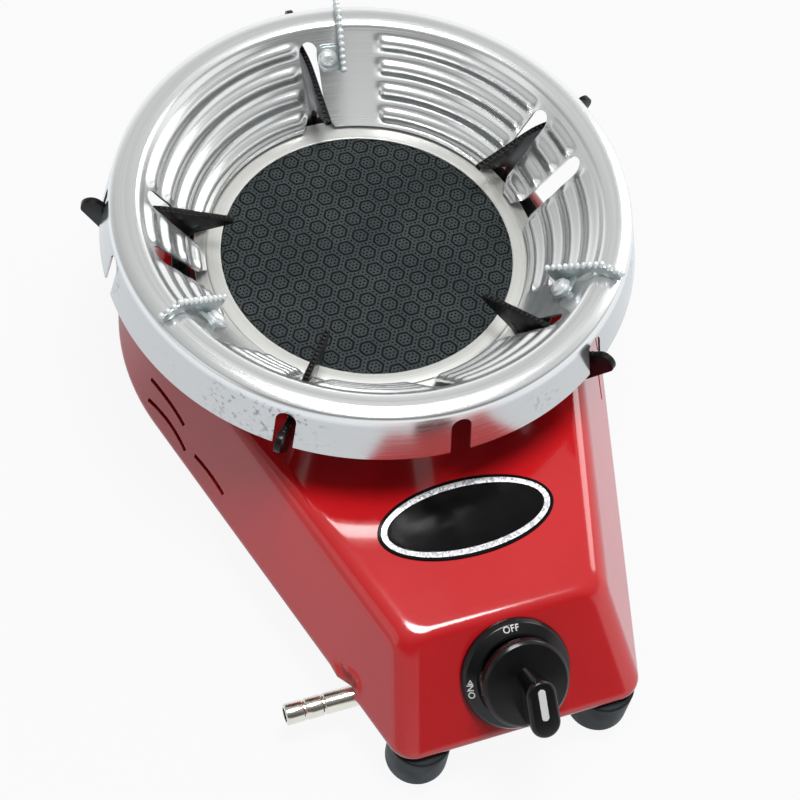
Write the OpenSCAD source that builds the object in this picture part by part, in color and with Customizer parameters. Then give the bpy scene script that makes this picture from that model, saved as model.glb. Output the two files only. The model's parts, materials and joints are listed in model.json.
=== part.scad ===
// Tabletop infrared gas stove with a single round burner, in millimetres.
// Z is up with the ground at Z = 0, and the slanted front panel faces -Y.
// The part's box is centred on X = 0 and Y = 0; the burner axis stands at Y = burner_y.

/* [Shell] */
// Height of the flat deck above the ground
deck_h = 64; // [61:0.5:68]
// Height of the shell's lower edge above the ground
shell_low = 23; // [21:0.5:26]
// Thickness of the pressed sheet
shell_t = 1.2; // [0.8:0.1:1.8]
// Radius of the round back at the lower edge
back_low_r = 118; // [116:0.1:124]
// Radius of the round back at the deck
back_top_r = 96.3; // [96:0.1:102]
// Reach of the front panel from the burner axis at the lower edge
front_low = 227.3; // [224:0.1:234]
// Reach of the front panel from the burner axis at the deck
front_top = 185.7; // [182:0.1:192]
// Width across the front corners at the lower edge
corner_low_w = 117; // [114:0.5:124]
// Width across the front corners at the deck
corner_top_w = 96.6; // [94:0.1:104]
// Radius of the front corners in plan
corner_r = 12; // [9:0.5:15]
// Radius of the pressed edge around the deck
deck_edge_r = 9; // [6:0.5:9]
// Radius of the pressed lower edge
low_edge_r = 3; // [2:0.5:4]
// Width of the flat flange turned in under the shell
flange_w = 18; // [17:0.5:22]
// Length of the middle vent slit
vent_len = 33; // [24:1:38]
// Width of a vent slit
vent_w = 2; // [1.2:0.1:3]

/* [Name plate] */
// Length of the bare oval plate
oval_len = 80; // [60:1:88]
// Width of the bare oval plate
oval_w = 37.6; // [28:0.2:42]
// Thickness of the bare oval plate
oval_t = 0.6; // [0.4:0.1:1.2]
// Distance of the plate's centre from the burner axis
oval_reach = 138.4; // [136:0.2:144]

/* [Feet] */
// Largest radius of a rubber foot
foot_r = 13.6; // [12.5:0.1:15]
// Radius of the face that stands on the ground
foot_sole_r = 9; // [7.5:0.1:10]
// Sideways place of the front feet
foot_front_x = 42.5; // [38:0.5:44]
// Distance of the front feet from the burner axis
foot_front_reach = 212.5; // [209:0.5:215]
// Distance of the rear feet from the burner axis
foot_rear_reach = 104; // [101:0.5:107]
// Direction of the right rear foot, from +X
foot_rear_deg = 50; // [30:1:65]
// Radius of the feet's and the strap's screws
screw_r = 2; // [1.5:0.1:2.5]

/* [Burner] */
// Height of the ceramic plate's face above the ground
plate_h = 75; // [73:0.5:78]
// Radius of the ceramic plate that shows inside the rim
plate_show_r = 67.5; // [60:0.1:68]
// Thickness of the ceramic plate
plate_t = 13; // [10:0.5:14]
// Distance between the hexagons in the plate's face
cell_pitch = 10.1; // [9:0.1:12]
// Width of the plate's edge that the rim covers
plate_lap = 2; // [1:0.1:2.5]
// Thickness of the fibre gasket around the plate
gasket_t = 1.5; // [1:0.1:2]
// Wall thickness of the bowl
bowl_t = 2; // [1.5:0.1:2.4]
// Thickness of the rim's sheet
rim_t = 1; // [0.6:0.1:1.2]
// Drop from the rim's inner band to its outer band
rim_step = 1.2; // [0.8:0.1:2]
// Outer radius of the rim
rim_r = 80; // [79:0.1:80.5]
// Width of the strap that carries the bowl
strap_w = 26; // [20:1:34]
// Thickness of the strap
strap_t = 2; // [1.5:0.1:3]

/* [Gas way] */
// Height of the mixing tube's axis above the ground
tube_h = 42; // [41:0.5:44]
// Outer radius of the mixing tube
tube_r = 10; // [9:0.1:11]
// Wall thickness of the mixing tube
tube_t = 1.5; // [1:0.1:2]
// Length of the air windows
window_len = 12; // [8:0.5:16]
// Wall thickness of the air shutter
shutter_t = 1.2; // [0.8:0.1:1.6]
// Outer radius of the hose nipple and its pipe
pipe_r = 4.75; // [4.5:0.05:5]
// Bore radius of the hose nipple and its pipe
pipe_bore_r = 3.2; // [2.5:0.1:3.6]
// Reach of the nipple's free end from the middle plane
nipple_reach = 94; // [90:0.5:100]
// Distance between the nipple's ring grooves
groove_pitch = 8.5; // [6:0.1:9]

/* [Valve and knob] */
// Height of the knob's axis where it meets the front panel
knob_h = 45.1; // [44:0.1:46]
// Radius of the valve body
valve_r = 9.5; // [9:0.1:10.5]
// Depth of the valve body behind the panel
valve_depth = 22.5; // [21.5:0.1:24]
// Radius of the plug
plug_r = 5; // [4.5:0.1:5.5]
// Radius of the stem
stem_r = 3; // [2.6:0.1:3.2]
// Travel of the knob when it is pushed
push_travel = 3; // [1.5:0.1:3.2]
// Outer radius of the bezel
bezel_r = 24.4; // [23.5:0.1:26]
// Height of the bezel on the panel
bezel_high = 6.4; // [5:0.1:7]
// Radius of the knob's round skirt
knob_r = 19; // [17.5:0.1:20]
// Height of the skirt's edge
knob_skirt = 6; // [4:0.1:7]
// Height of the grip's face above the panel
knob_front = 33; // [31:0.5:36]
// Length of the grip's face
grip_len = 25; // [22:0.5:27]
// Width of the grip
grip_w = 13; // [11:0.5:15]

/* [Pan support] */
// Radius that the claws' outer ends reach
claw_out_r = 129.5; // [127:0.1:134]
// Radius of the claws' inner tips
claw_in_r = 62; // [56:0.5:68]
// Thickness of a claw
claw_t = 2.8; // [2.2:0.1:4]
// Height of a claw's inner tip above the ground
claw_tip_h = 96.5; // [94:0.5:98]
// Height of the crest that the pan rests on
claw_crest_h = 102.5; // [100:0.5:104]
// Height of a claw's outer end above the ground
claw_end_h = 105.5; // [103:0.5:107]
// Width of the base ring that lies on the deck
base_ring_w = 8; // [6:0.1:8.4]
// Thickness of the base ring
base_ring_t = 4; // [3:0.1:5]

/* [Wind ring] */
// Height of the lip above the ground
lip_h = 117; // [115:0.5:120]
// Radius of the lip's outer edge
lip_out_r = 116.4; // [115:0.1:118]
// Radius of the lip's inner edge
lip_in_r = 103; // [101:0.1:104]
// Radius of the skirt's lower edge
skirt_r = 120.9; // [119:0.1:122]
// Height of the skirt's lower edge above the ground
skirt_h = 92.8; // [91:0.1:95]
// Radius of the bowl wall's lower edge
wall_low_r = 75; // [74:0.1:75.4]
// Thickness of the ring's sheet
ring_t = 1; // [0.8:0.1:1.2]
// Height of a rib on the bowl wall
rib_high = 1.5; // [0.8:0.1:1.8]
// Width of a slot
slot_w = 9; // [8:0.1:11]
// Height of the slots' round tops above the ground
slot_top_h = 111; // [110:0.5:112]
// Radius of the brackets' inner ends
bracket_in_r = 82.5; // [80:0.5:86]
// Height of the brackets' inner ends above the ground
bracket_in_h = 108; // [106:0.5:109]
// Height of the brackets' bends above the lip
bracket_rise = 6.5; // [5.5:0.1:8]
// Thickness of a bracket's sheet
bracket_t = 2; // [1.5:0.1:2.5]

/* [Hidden] */
$fn = 96;
// Clearances: seats of loose pieces, screws in holes, and running fits
seat_gap = 0.2;
hole_gap = 0.2;
run_gap = 0.05;

// Shared fastener sizes, from the screw's radius
head_r = screw_r * 2;
head_h = screw_r * 1.3;
nut_r = screw_r * 2.02;
nut_h = screw_r * 1.6;

// Shell: lean of its faces from upright, and the place of the knob on the panel
shell_rise = deck_h - shell_low;
front_lean = atan((front_low - front_top) / shell_rise);
side_lean = atan((back_low_r - back_top_r) / shell_rise);
corner_lean = atan((corner_low_w - corner_top_w) / 2 / shell_rise);
least_lean = min(front_lean, side_lean, corner_lean);
most_lean = max(front_lean, side_lean, corner_lean);
edge_steps = 5;
corner_steps = 6;
back_steps = 36;
vent_up = 10.5;
vent_h = shell_low + vent_up;
vent_step = 7;
vent_reach = 1;
knob_reach = face_at(front_low, front_top, knob_h);

// The box runs from the grip's lower end to the rear claw's end
grip_drop = 4.95;
front_reach = knob_reach + knob_front * cos(front_lean) + (grip_len / 2 + grip_drop) * sin(front_lean);
burner_y = (front_reach - claw_out_r) / 2;

// Burner stack
plate_r = plate_show_r + plate_lap;
cell_turn = -29;
cell_groove_w = 0.9;
cell_groove_deep = 0.6;
cell_r = cell_pitch * 0.335;
gasket_r = plate_r + gasket_t;
bowl_r = gasket_r + bowl_t;
ledge_w = 4;
ledge_t = 2.5;
floor_t = 2.5;
strap_low = shell_low + shell_t;
bowl_low = strap_low + strap_t;
rim_step_r = bowl_r + hole_gap + rim_t;
rim_band_h = plate_h + rim_t - rim_step;
burner_hole_r = bowl_r + 4;
bowl_screw_x = 30;
boss_high = 8;
strap_screw_x = reach(back_low_r, back_top_r, shell_low, 0) - flange_w / 2;
strap_len = 2 * (strap_screw_x + flange_w / 4);

// Valve, injector and mixing tube, along Y from the panel to the bowl
cover_t = 1.5;
chamber_end = 10.5;
chamber_r = plug_r + 1.5;
plug_end = valve_depth - 2.5;
inlet_depth = 15.5;
valve_screw_x = 12.5;
ear_t = 4;
outlet_r = 6;
outlet_len = 18;
outlet_reach = knob_reach - 1.5 * outlet_len;
shank_r = 3;
shank_len = 6;
hex_t = 5;
nose_r = 3.5;
nose_len = 7;
end_wall_t = 2;
tube_reach = outlet_reach - hex_t - 1;
tube_inner_reach = bowl_r - 3;
collar_r = tube_r + 2.5;
collar_w = 2;
window_w = tube_r;
shutter_len = window_len + 3;
shutter_reach = tube_reach - collar_w - 0.3;
lever_len = 6;

// Inlet pipe and union nut, along -X from the valve
inlet_boss_r = 6.5;
nut_lap = 5;
inlet_boss_x = valve_r + nut_lap + 0.5;
union_r = inlet_boss_r + 3;
groove_w = 1;
groove_deep = 0.5;

// The pipe's offset bend, which takes it down and under the shell's lower edge
pipe_drop = 5;
pipe_set = 18.2;
pipe_offset = norm([pipe_drop, pipe_set]);
pipe_turn = atan2(-pipe_drop, -pipe_set);
bend_deg = 45;
bend_r = 12;
bend_x = inlet_boss_x + 2 * nut_lap;
pipe_sides = 16;
pipe_skin = 0.1;
slant_len = (pipe_offset - 2 * bend_r * (1 - cos(bend_deg))) / sin(bend_deg);
nipple_x = bend_x + slant_len * cos(bend_deg) + 2 * bend_r * sin(bend_deg);

// Knob stack, as heights above the panel
knob_low = bezel_high + push_travel + 0.5;
bezel_in_r = bezel_r - 7;
collar_depth = shell_t + cover_t + 0.5;
collar_t = 1.5;
stem_collar_r = plug_r + 0.7;
tongue_t = 2.4;
tongue_w = 2 * stem_r - 0.8;
tongue_end = chamber_end + 5.5;
stem_top = knob_front - 8;
grip_lean = 0.75;
inlay_len = 14;
inlay_w = 3.2;
inlay_t = 0.8;
inlay_up = 2.2 - grip_drop;

// Spring between the stem's collar and the plug
wire_r = 0.4;
spring_r = stem_r + 1.3;
spring_turns = 3;
spring_low = chamber_end - 0.1;
spring_high = collar_depth + collar_t + 0.1;

// Pan support
base_ring_in = rim_r + 2;
base_ring_out = base_ring_in + base_ring_w;
base_ring_low = deck_h + seat_gap;
base_ring_top = base_ring_low + base_ring_t;
finger_r = 5;
tip_deep = 2.5;
leg_set = 0.5;
web_h = plate_h + 9.5;
web_step = 7;
heel_h = web_h - 2;
heel_r = claw_out_r - 10.5;
dip_h = claw_crest_h - 4;
dip_r = claw_out_r - 14.5;
crest_r = (claw_in_r + claw_out_r) / 2;
claw_turns = [18, 90, 162, 234, 306];
spare_turns = [0, 180, 270];

// Wind ring: middle line of the sheet, from the skirt's edge over the lip to the bowl wall's edge
lip_mid_h = lip_h - ring_t / 2;
outer_bend = 2;
inner_bend = 3;
wall_low_h = plate_h + rim_t + seat_gap + ring_t / 2;
wall_slope = atan2(lip_h - wall_low_h, lip_in_r - wall_low_r);
bend_steps = 4;
wall_top = [lip_in_r + inner_bend, lip_mid_h - inner_bend]
    + inner_bend * [cos(90 + wall_slope), sin(90 + wall_slope)];
wall_low = [wall_low_r, wall_low_h];
wall_len = norm(wall_low - wall_top);
wall_dir = (wall_low - wall_top) / wall_len;
wall_in = [wall_dir.y, -wall_dir.x];
rib_count = 4;
rib_first = wall_len * 0.165;
rib_pitch = wall_len * 0.235;
rib_w = wall_len * 0.21;
rib_steps = 3;
slot_flare = 5;

// Brackets on the wind ring
bracket_turns = [81, 201, 321];
bracket_hands = [1, 1, -1];
bead_r = 1.6;
bead_pitch = 3.3;
seat_off = ring_t / 2 + rib_high + seat_gap;
tab_t = 1.5;
tab_len = 12;
tab_w = 13;
tab_down = wall_len * 0.3;
tab_turn = 4;
tab_gap = 0.3;
tab_shift = 2;
tab_top = seat_off + tab_gap + tab_t;
bracket_screw_r = 2;
bead_proud = 0.5;
outer_drop = 1.5;
tip_cut = [0.5, -2.5];
wall_cut = 2 * (ring_t + rib_high);

// Frames

// Places children on the burner axis
module at_burner() {
    translate([0, burner_y, 0]) children();
}

// Places children on the front panel: local Z points out of it, local Y up it
module on_panel() {
    translate([0, burner_y - knob_reach, knob_h])
        rotate([90 - front_lean, 0, 0])
            children();
}

// Places children around the burner at an angle, with local X pointing outwards
module turned(deg) {
    at_burner() rotate([0, 0, deg]) children();
}

// Stands a drawing of radius and height up on its radial plane, t thick
module radial_plate(t) {
    rotate([90, 0, 0]) linear_extrude(t, center = true) children();
}

// Places children on a side of the shell: local Z points out of it, local X down it
module on_side(hand, reach_y, up_h) {
    psi = side_turn(up_h, 0);
    at_burner()
        mirror([hand < 0 ? 1 : 0, 0, 0])
            rotate([0, 0, psi])
                translate([face_at(back_low_r, back_top_r, up_h), -reach_y, up_h])
                    rotate([0, 90 - side_lean, 0])
                        children();
}

// Shell shape

// Reach of a leaning face at a height
function face_at(low, top, z) = low + (top - low) * (z - shell_low) / (deck_h - shell_low);

// Reach of a leaning face at a height, with the rounded edges above and below it, moved in by inset
function reach(low, top, z, inset) =
    let (
        a = atan((low - top) / (deck_h - shell_low)),
        r = deck_edge_r - inset,
        q = low_edge_r - inset,
        high_z = deck_h - inset - r * (1 - sin(a)),
        low_z = shell_low + inset + q * (1 + sin(a)),
        shift = inset / cos(a)
    )
    z > high_z
        ? face_at(low, top, high_z) - shift - r * cos(a) + sqrt(max(0, r * r - pow(z - deck_h + inset + r, 2)))
        : z < low_z
            ? face_at(low, top, low_z) - shift - q * cos(a) + sqrt(max(0, q * q - pow(z - shell_low - inset - q, 2)))
            : face_at(low, top, z) - shift;

// Place of a front corner's centre at a height
function corner_at(z, inset) = [
    reach(corner_low_w / 2, corner_top_w / 2, z, inset) - (corner_r - inset),
    reach(front_low, front_top, z, inset) - (corner_r - inset)
];

// Direction that a flat side faces in plan, where it runs from a front corner to the round back
function side_turn(z, inset) =
    let (c = corner_at(z, inset))
    acos((reach(back_low_r, back_top_r, z, inset) - corner_r + inset) / norm(c)) - atan2(c.y, c.x);

// Outline of the shell at a height
function outline(z, inset) =
    let (
        c = corner_at(z, inset),
        r = corner_r - inset,
        back = reach(back_low_r, back_top_r, z, inset),
        psi = side_turn(z, inset)
    )
    concat(
        [for (i = [0 : corner_steps]) let (a = -90 + (psi + 90) * i / corner_steps)
            [c.x + r * cos(a), -c.y + r * sin(a)]],
        [for (i = [0 : back_steps]) let (a = psi + (180 - 2 * psi) * i / back_steps)
            back * [cos(a), sin(a)]],
        [for (i = [0 : corner_steps]) let (a = 180 - psi + (psi + 90) * i / corner_steps)
            [-c.x + r * cos(a), -c.y + r * sin(a)]]
    );

// Heights at which the shell's outline is taken
function shell_levels(inset) = concat(
    [for (i = [0 : edge_steps])
        shell_low + inset + (low_edge_r - inset) * (1 - cos((90 + most_lean) * i / edge_steps))],
    [for (i = [0 : edge_steps])
        deck_h - inset - (deck_edge_r - inset) * (1 - sin(least_lean + (90 - least_lean) * i / edge_steps))]
);

// Solid block of the shell's outer form, moved in by inset on every side
module shell_block(inset) {
    levels = shell_levels(inset);
    n = len(outline(levels[0], inset));
    top = len(levels) - 1;
    points = [for (z = levels) each [for (p = outline(z, inset)) [p.x, p.y, z]]];
    sides = [for (k = [0 : top - 1]) each [for (i = [0 : n - 1])
        let (a = k * n + i, b = k * n + (i + 1) % n)
        each [[a, a + n, b + n], [a, b + n, b]]]];
    caps = [[for (i = [0 : n - 1]) i], [for (i = [n - 1 : -1 : 0]) top * n + i]];
    polyhedron(points, concat(sides, caps), convexity = 4);
}

// One bowed slit through a side: bow is the radius that it is drawn on
module vent_slit(length, bow) {
    sweep = length / bow * 180 / PI;
    translate([bow, 0, -3 * shell_t])
        rotate([0, 0, 180 - sweep / 2])
            rotate_extrude(angle = sweep)
                translate([bow - vent_w / 2, 0])
                    square([vent_w, 6 * shell_t]);
}

// The three bowed slits of one side
module side_vents(hand) {
    on_side(hand, vent_reach, vent_h + vent_step) vent_slit(vent_len * 0.9, vent_len * 2.4);
    on_side(hand, vent_reach + 6, vent_h) vent_slit(vent_len, vent_len * 1.7);
    on_side(hand, vent_reach + vent_len + 7, vent_h + 1.4) vent_slit(vent_len * 0.73, vent_len * 2.4);
}

// Places of the four feet around the burner axis
function foot_at(side, end) = end < 0
    ? [side * foot_front_x, -foot_front_reach]
    : foot_rear_reach * [side * cos(foot_rear_deg), sin(foot_rear_deg)];

module at_feet() {
    at_burner()
        for (side = [-1, 1], end = [-1, 1])
            translate(foot_at(side, end)) children();
}

module body_shell() {
    color("firebrick")
    difference() {
        at_burner() difference() {
            shell_block(0);
            shell_block(shell_t);
            translate([0, 0, shell_low - 1])
                linear_extrude(shell_t + 2)
                    polygon([for (p = outline(shell_low, 0)) p * (1 - flange_w / norm(p))]);
            translate([0, 0, deck_h - 3 * shell_t]) cylinder(r = burner_hole_r, h = 6 * shell_t);
            for (side = [-1, 1])
                translate([side * strap_screw_x, 0, shell_low - 1])
                    cylinder(r = screw_r + hole_gap, h = shell_t + 2);
        }
        at_feet() translate([0, 0, shell_low - 1]) cylinder(r = screw_r + hole_gap, h = shell_t + 2);
        on_panel() translate([0, 0, -3 * shell_t]) cylinder(r = stem_r + 2, h = 6 * shell_t);
        on_panel()
            for (side = [-1, 1])
                translate([side * valve_screw_x, 0, -3 * shell_t])
                    cylinder(r = screw_r + hole_gap, h = 6 * shell_t);
        side_vents(1);
        side_vents(-1);
    }
}

// Bare oval plate on the deck
module name_plate() {
    color("black")
    at_burner()
        translate([0, -oval_reach, deck_h])
            linear_extrude(oval_t)
                polygon([for (a = [0 : 5 : 355]) [oval_len / 2 * cos(a), oval_w / 2 * sin(a)]]);
}

// Rubber foot with a rounded lower edge and a recess for the screw's head
module foot(side, end) {
    recess_h = shell_low * 0.4;
    round = foot_r - foot_sole_r - 0.4;
    color("dimgray")
    at_burner() translate(foot_at(side, end))
        rotate_extrude()
            polygon(concat(
                [[head_r + 0.5, 0]],
                [for (a = [0 : 15 : 90]) [foot_sole_r + round * sin(a), round * (1 - cos(a))]],
                [[foot_r, shell_low - 1], [foot_r - 1, shell_low]],
                [[screw_r + hole_gap, shell_low], [screw_r + hole_gap, recess_h], [head_r + 0.5, recess_h]]
            ));
}

module foot_front_left() foot(-1, -1);
module foot_front_right() foot(1, -1);
module foot_rear_left() foot(-1, 1);
module foot_rear_right() foot(1, 1);

// Pan-head screw that points up, with the head's seat at Z = 0
module screw(r, length) {
    rotate_extrude()
        polygon(concat(
            [[0, -r * 1.3]],
            [for (a = [0 : 30 : 90]) [r * (1.3 + 0.7 * sin(a)), -r * (0.7 + 0.6 * cos(a))]],
            [[2 * r, 0], [r, 0], [r, length - r / 3], [r * 0.67, length], [0, length]]
        ));
}

// Hexagon nut that stands on Z = 0
module nut(r) {
    difference() {
        cylinder(r = r * 2.02, h = r * 1.6, $fn = 6);
        translate([0, 0, -1]) cylinder(r = r + run_gap, h = r * 1.6 + 2);
    }
}

module foot_screws() {
    seat_h = shell_low * 0.4;
    color("silver")
    at_feet() translate([0, 0, seat_h])
        screw(screw_r, shell_low - seat_h + shell_t + nut_h + 1);
}

module foot_nuts() {
    color("silver") at_feet() translate([0, 0, shell_low + shell_t]) nut(screw_r);
}

// Flat strap across the flange, under the bowl
module burner_strap() {
    color("gray")
    at_burner() difference() {
        translate([-strap_len / 2, -strap_w / 2, strap_low]) cube([strap_len, strap_w, strap_t]);
        for (x = [-strap_screw_x, -bowl_screw_x, bowl_screw_x, strap_screw_x])
            translate([x, 0, strap_low - 1]) cylinder(r = screw_r + hole_gap, h = strap_t + 2);
    }
}

module strap_screws() {
    color("silver")
    at_burner()
        for (side = [-1, 1])
            translate([side * strap_screw_x, 0, shell_low])
                screw(screw_r, shell_t + strap_t + nut_h + 1);
}

module strap_nuts() {
    color("silver")
    at_burner()
        for (side = [-1, 1])
            translate([side * strap_screw_x, 0, strap_low + strap_t]) nut(screw_r);
}

module burner_screws() {
    color("silver")
    at_burner()
        for (side = [-1, 1])
            translate([side * bowl_screw_x, 0, strap_low])
                screw(screw_r, strap_t + floor_t + boss_high - 2);
}

// Mixing bowl under the plate, with a ledge for the plate and a port for the mixing tube
module burner_bowl() {
    ledge_h = plate_h - plate_t;
    inner_r = bowl_r - bowl_t;
    corner = 6;
    color("darkgray")
    at_burner() difference() {
        union() {
            rotate_extrude()
                polygon([
                    [0, bowl_low], [bowl_r - corner, bowl_low], [bowl_r, bowl_low + corner], [bowl_r, plate_h],
                    [gasket_r, plate_h], [gasket_r, ledge_h], [plate_r - ledge_w, ledge_h],
                    [plate_r - ledge_w, ledge_h - ledge_t], [inner_r, ledge_h - ledge_t - ledge_w],
                    [inner_r, bowl_low + corner + 1], [inner_r - corner + 1, bowl_low + floor_t],
                    [0, bowl_low + floor_t]
                ]);
            for (side = [-1, 1])
                translate([side * bowl_screw_x, 0, bowl_low])
                    cylinder(r = 2.5 * screw_r, h = floor_t + boss_high);
        }
        for (side = [-1, 1])
            translate([side * bowl_screw_x, 0, bowl_low - 1])
                cylinder(r = screw_r + run_gap, h = floor_t + boss_high - 1);
        translate([0, -bowl_r / 2, tube_h]) rotate([90, 0, 0]) cylinder(r = tube_r + run_gap, h = bowl_r);
    }
}

module plate_gasket() {
    color("white")
    at_burner() translate([0, 0, plate_h - plate_t])
        difference() {
            cylinder(r = gasket_r, h = plate_t);
            translate([0, 0, -1]) cylinder(r = plate_r, h = plate_t + 2);
        }
}

// Places of the hexagons in the plate's face, on a lattice of equal triangles
cell_rows = ceil(plate_r / cell_pitch);
cell_spots = [for (i = [-2 * cell_rows : 2 * cell_rows], j = [-cell_rows : cell_rows])
    let (p = cell_pitch * [i + j / 2, j * sin(60)])
    if (norm(p) < plate_show_r - cell_pitch / 3) p];

module ceramic_plate() {
    color("darkslategray")
    at_burner() difference() {
        translate([0, 0, plate_h - plate_t]) cylinder(r = plate_r, h = plate_t);
        rotate([0, 0, cell_turn])
            for (p = cell_spots)
                translate([p.x, p.y, plate_h - cell_groove_deep])
                    rotate([0, 0, 30])
                        linear_extrude(2 * cell_groove_deep)
                            difference() {
                                circle(r = (cell_r + cell_groove_w / 2) / cos(30), $fn = 6);
                                circle(r = (cell_r - cell_groove_w / 2) / cos(30), $fn = 6);
                            }
    }
}

// Stepped sheet ring that holds the plate down, with an outer band that carries the wind ring
module burner_rim() {
    color("gainsboro")
    at_burner()
        rotate_extrude()
            polygon([
                [plate_show_r, plate_h], [rim_step_r - rim_t, plate_h],
                [rim_step_r - rim_t, rim_band_h - rim_t], [rim_r, rim_band_h - rim_t],
                [rim_r, rim_band_h], [rim_step_r, rim_band_h],
                [rim_step_r, plate_h + rim_t], [plate_show_r, plate_h + rim_t]
            ]);
}

// Lays a cylinder along Y from one reach in front of the burner axis back to another
module along_tube(r, from_reach, to_reach) {
    translate([0, -to_reach, tube_h]) rotate([90, 0, 0]) cylinder(r = r, h = from_reach - to_reach);
}

// Two air windows, one on each side, through whatever lies on the tube
module air_windows() {
    translate([-2 * tube_r, -shutter_reach + (shutter_len - window_len) / 2, tube_h - window_w / 2])
        cube([4 * tube_r, window_len, window_w]);
}

module mixing_tube() {
    far_collar = shutter_reach - shutter_len - 0.3;
    color("gray")
    at_burner() difference() {
        union() {
            along_tube(tube_r, tube_reach, tube_inner_reach);
            along_tube(collar_r, tube_reach, tube_reach - collar_w);
            along_tube(collar_r, far_collar, far_collar - collar_w);
        }
        along_tube(tube_r - tube_t, tube_reach - end_wall_t, tube_inner_reach - 1);
        along_tube(nose_r + 0.1, tube_reach + 1, tube_reach - end_wall_t - 1);
        air_windows();
    }
}

// Sleeve that turns on the tube to open and close the air windows
module air_shutter() {
    lever_y = -shutter_reach + shutter_len / 2;
    color("goldenrod")
    at_burner() difference() {
        union() {
            along_tube(tube_r + run_gap + shutter_t, shutter_reach, shutter_reach - shutter_len);
            translate([-shutter_t, lever_y - 4, tube_h - tube_r - shutter_t - lever_len])
                cube([2 * shutter_t, 8, lever_len + shutter_t]);
        }
        along_tube(tube_r + run_gap, shutter_reach + 1, shutter_reach - shutter_len - 1);
        air_windows();
    }
}

// Brass jet: shank in the valve's outlet, hexagon, and a nose in the tube's end wall
module injector() {
    jet_r = 0.6;
    color("goldenrod")
    at_burner() difference() {
        union() {
            along_tube(shank_r, outlet_reach + shank_len, outlet_reach);
            translate([0, -outlet_reach + hex_t, tube_h])
                rotate([90, 0, 0])
                    cylinder(r = outlet_r, h = hex_t, $fn = 6);
            along_tube(nose_r, outlet_reach - hex_t, outlet_reach - hex_t - nose_len);
        }
        along_tube(jet_r, outlet_reach + shank_len + 1, outlet_reach - hex_t - nose_len - 1);
    }
}

// Brass valve: a barrel on the knob's axis, two ears on the panel, an inlet boss and an outlet boss
module valve_body() {
    front = shell_t + cover_t;
    passage_r = 2;
    color("goldenrod")
    difference() {
        union() {
            on_panel() translate([0, 0, -valve_depth]) cylinder(r = valve_r, h = valve_depth - front);
            on_panel()
                for (side = [-1, 1])
                    translate([side * valve_screw_x, 0, -front - ear_t]) cylinder(r = 2 * screw_r, h = ear_t);
            on_panel()
                translate([-valve_screw_x, -2 * screw_r, -front - ear_t])
                    cube([2 * valve_screw_x, 4 * screw_r, ear_t]);
            on_panel()
                translate([0, 0, -inlet_depth])
                    rotate([0, -90, 0])
                        cylinder(r = inlet_boss_r, h = inlet_boss_x);
            at_burner() along_tube(outlet_r, outlet_reach + outlet_len, outlet_reach);
        }
        on_panel() translate([0, 0, -chamber_end]) cylinder(r = chamber_r, h = chamber_end);
        on_panel() translate([0, 0, -plug_end]) cylinder(r = plug_r + run_gap, h = plug_end);
        on_panel()
            for (side = [-1, 1])
                translate([side * valve_screw_x, 0, -front - ear_t - 1])
                    cylinder(r = screw_r + run_gap, h = ear_t + 2);
        on_panel()
            translate([-plug_r / 2, 0, -inlet_depth])
                rotate([0, -90, 0])
                    cylinder(r = passage_r, h = inlet_boss_x);
        on_panel()
            translate([0, plug_r / 2, -inlet_depth])
                rotate([-90, 0, 0])
                    cylinder(r = passage_r, h = valve_r);
        at_burner() along_tube(shank_r + run_gap, outlet_reach + 1.6 * shank_len, outlet_reach - 1);
    }
}

// Steel cover between the valve and the panel
module valve_cover() {
    color("silver")
    on_panel() translate([0, 0, -shell_t - cover_t])
        difference() {
            union() {
                cylinder(r = valve_r, h = cover_t);
                translate([-valve_screw_x, -2 * screw_r, 0]) cube([2 * valve_screw_x, 4 * screw_r, cover_t]);
                for (side = [-1, 1])
                    translate([side * valve_screw_x, 0, 0]) cylinder(r = 2 * screw_r, h = cover_t);
            }
            translate([0, 0, -1]) cylinder(r = stem_r + 0.4, h = cover_t + 2);
            for (side = [-1, 1])
                translate([side * valve_screw_x, 0, -1]) cylinder(r = screw_r + hole_gap, h = cover_t + 2);
        }
}

module valve_screws() {
    color("silver")
    on_panel()
        for (side = [-1, 1])
            translate([side * valve_screw_x, 0, 0])
                mirror([0, 0, 1])
                    screw(screw_r, shell_t + cover_t + ear_t);
}

// Steps along the pipe's bend: distance along, distance aside and direction
pipe_path = concat(
    [[inlet_boss_x, 0, 0]],
    [for (k = [0 : bend_steps]) let (a = bend_deg * k / bend_steps)
        [bend_x + bend_r * sin(a), bend_r * (1 - cos(a)), a]],
    [for (k = [bend_steps : -1 : 0]) let (a = bend_deg * k / bend_steps)
        [nipple_x - bend_r * sin(a), pipe_offset - bend_r * (1 - cos(a)), a]],
    [[nipple_x + nut_lap, pipe_offset, 0]]
);

// Points around the pipe at one step
function pipe_ring(step, r) = [for (k = [0 : pipe_sides - 1])
    let (b = 360 * k / pipe_sides)
    [step[1] + r * cos(b) * cos(step[2]), r * sin(b), step[0] - r * cos(b) * sin(step[2])]];

// Bent stretch of the pipe, which ends inside the nipple's wall
module pipe_bend() {
    n = pipe_sides;
    last = len(pipe_path) - 1;
    base = n * len(pipe_path);
    points = concat(
        [for (step = pipe_path) each pipe_ring(step, pipe_r - pipe_skin)],
        [for (step = pipe_path) each pipe_ring(step, pipe_bore_r + pipe_skin)]
    );
    sides = [for (k = [0 : last - 1]) each [for (i = [0 : n - 1])
        let (a = k * n + i, b = k * n + (i + 1) % n)
        each [[a, a + n, b + n], [a, b + n, b],
            [base + a, base + b + n, base + a + n], [base + a, base + b, base + b + n]]]];
    caps = [for (i = [0 : n - 1])
        let (b = (i + 1) % n, end = last * n)
        each [[i, b, base + b, base + i], [end + b, end + i, base + end + i, base + end + b]]];
    polyhedron(points, concat(sides, caps), convexity = 6);
}

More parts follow.
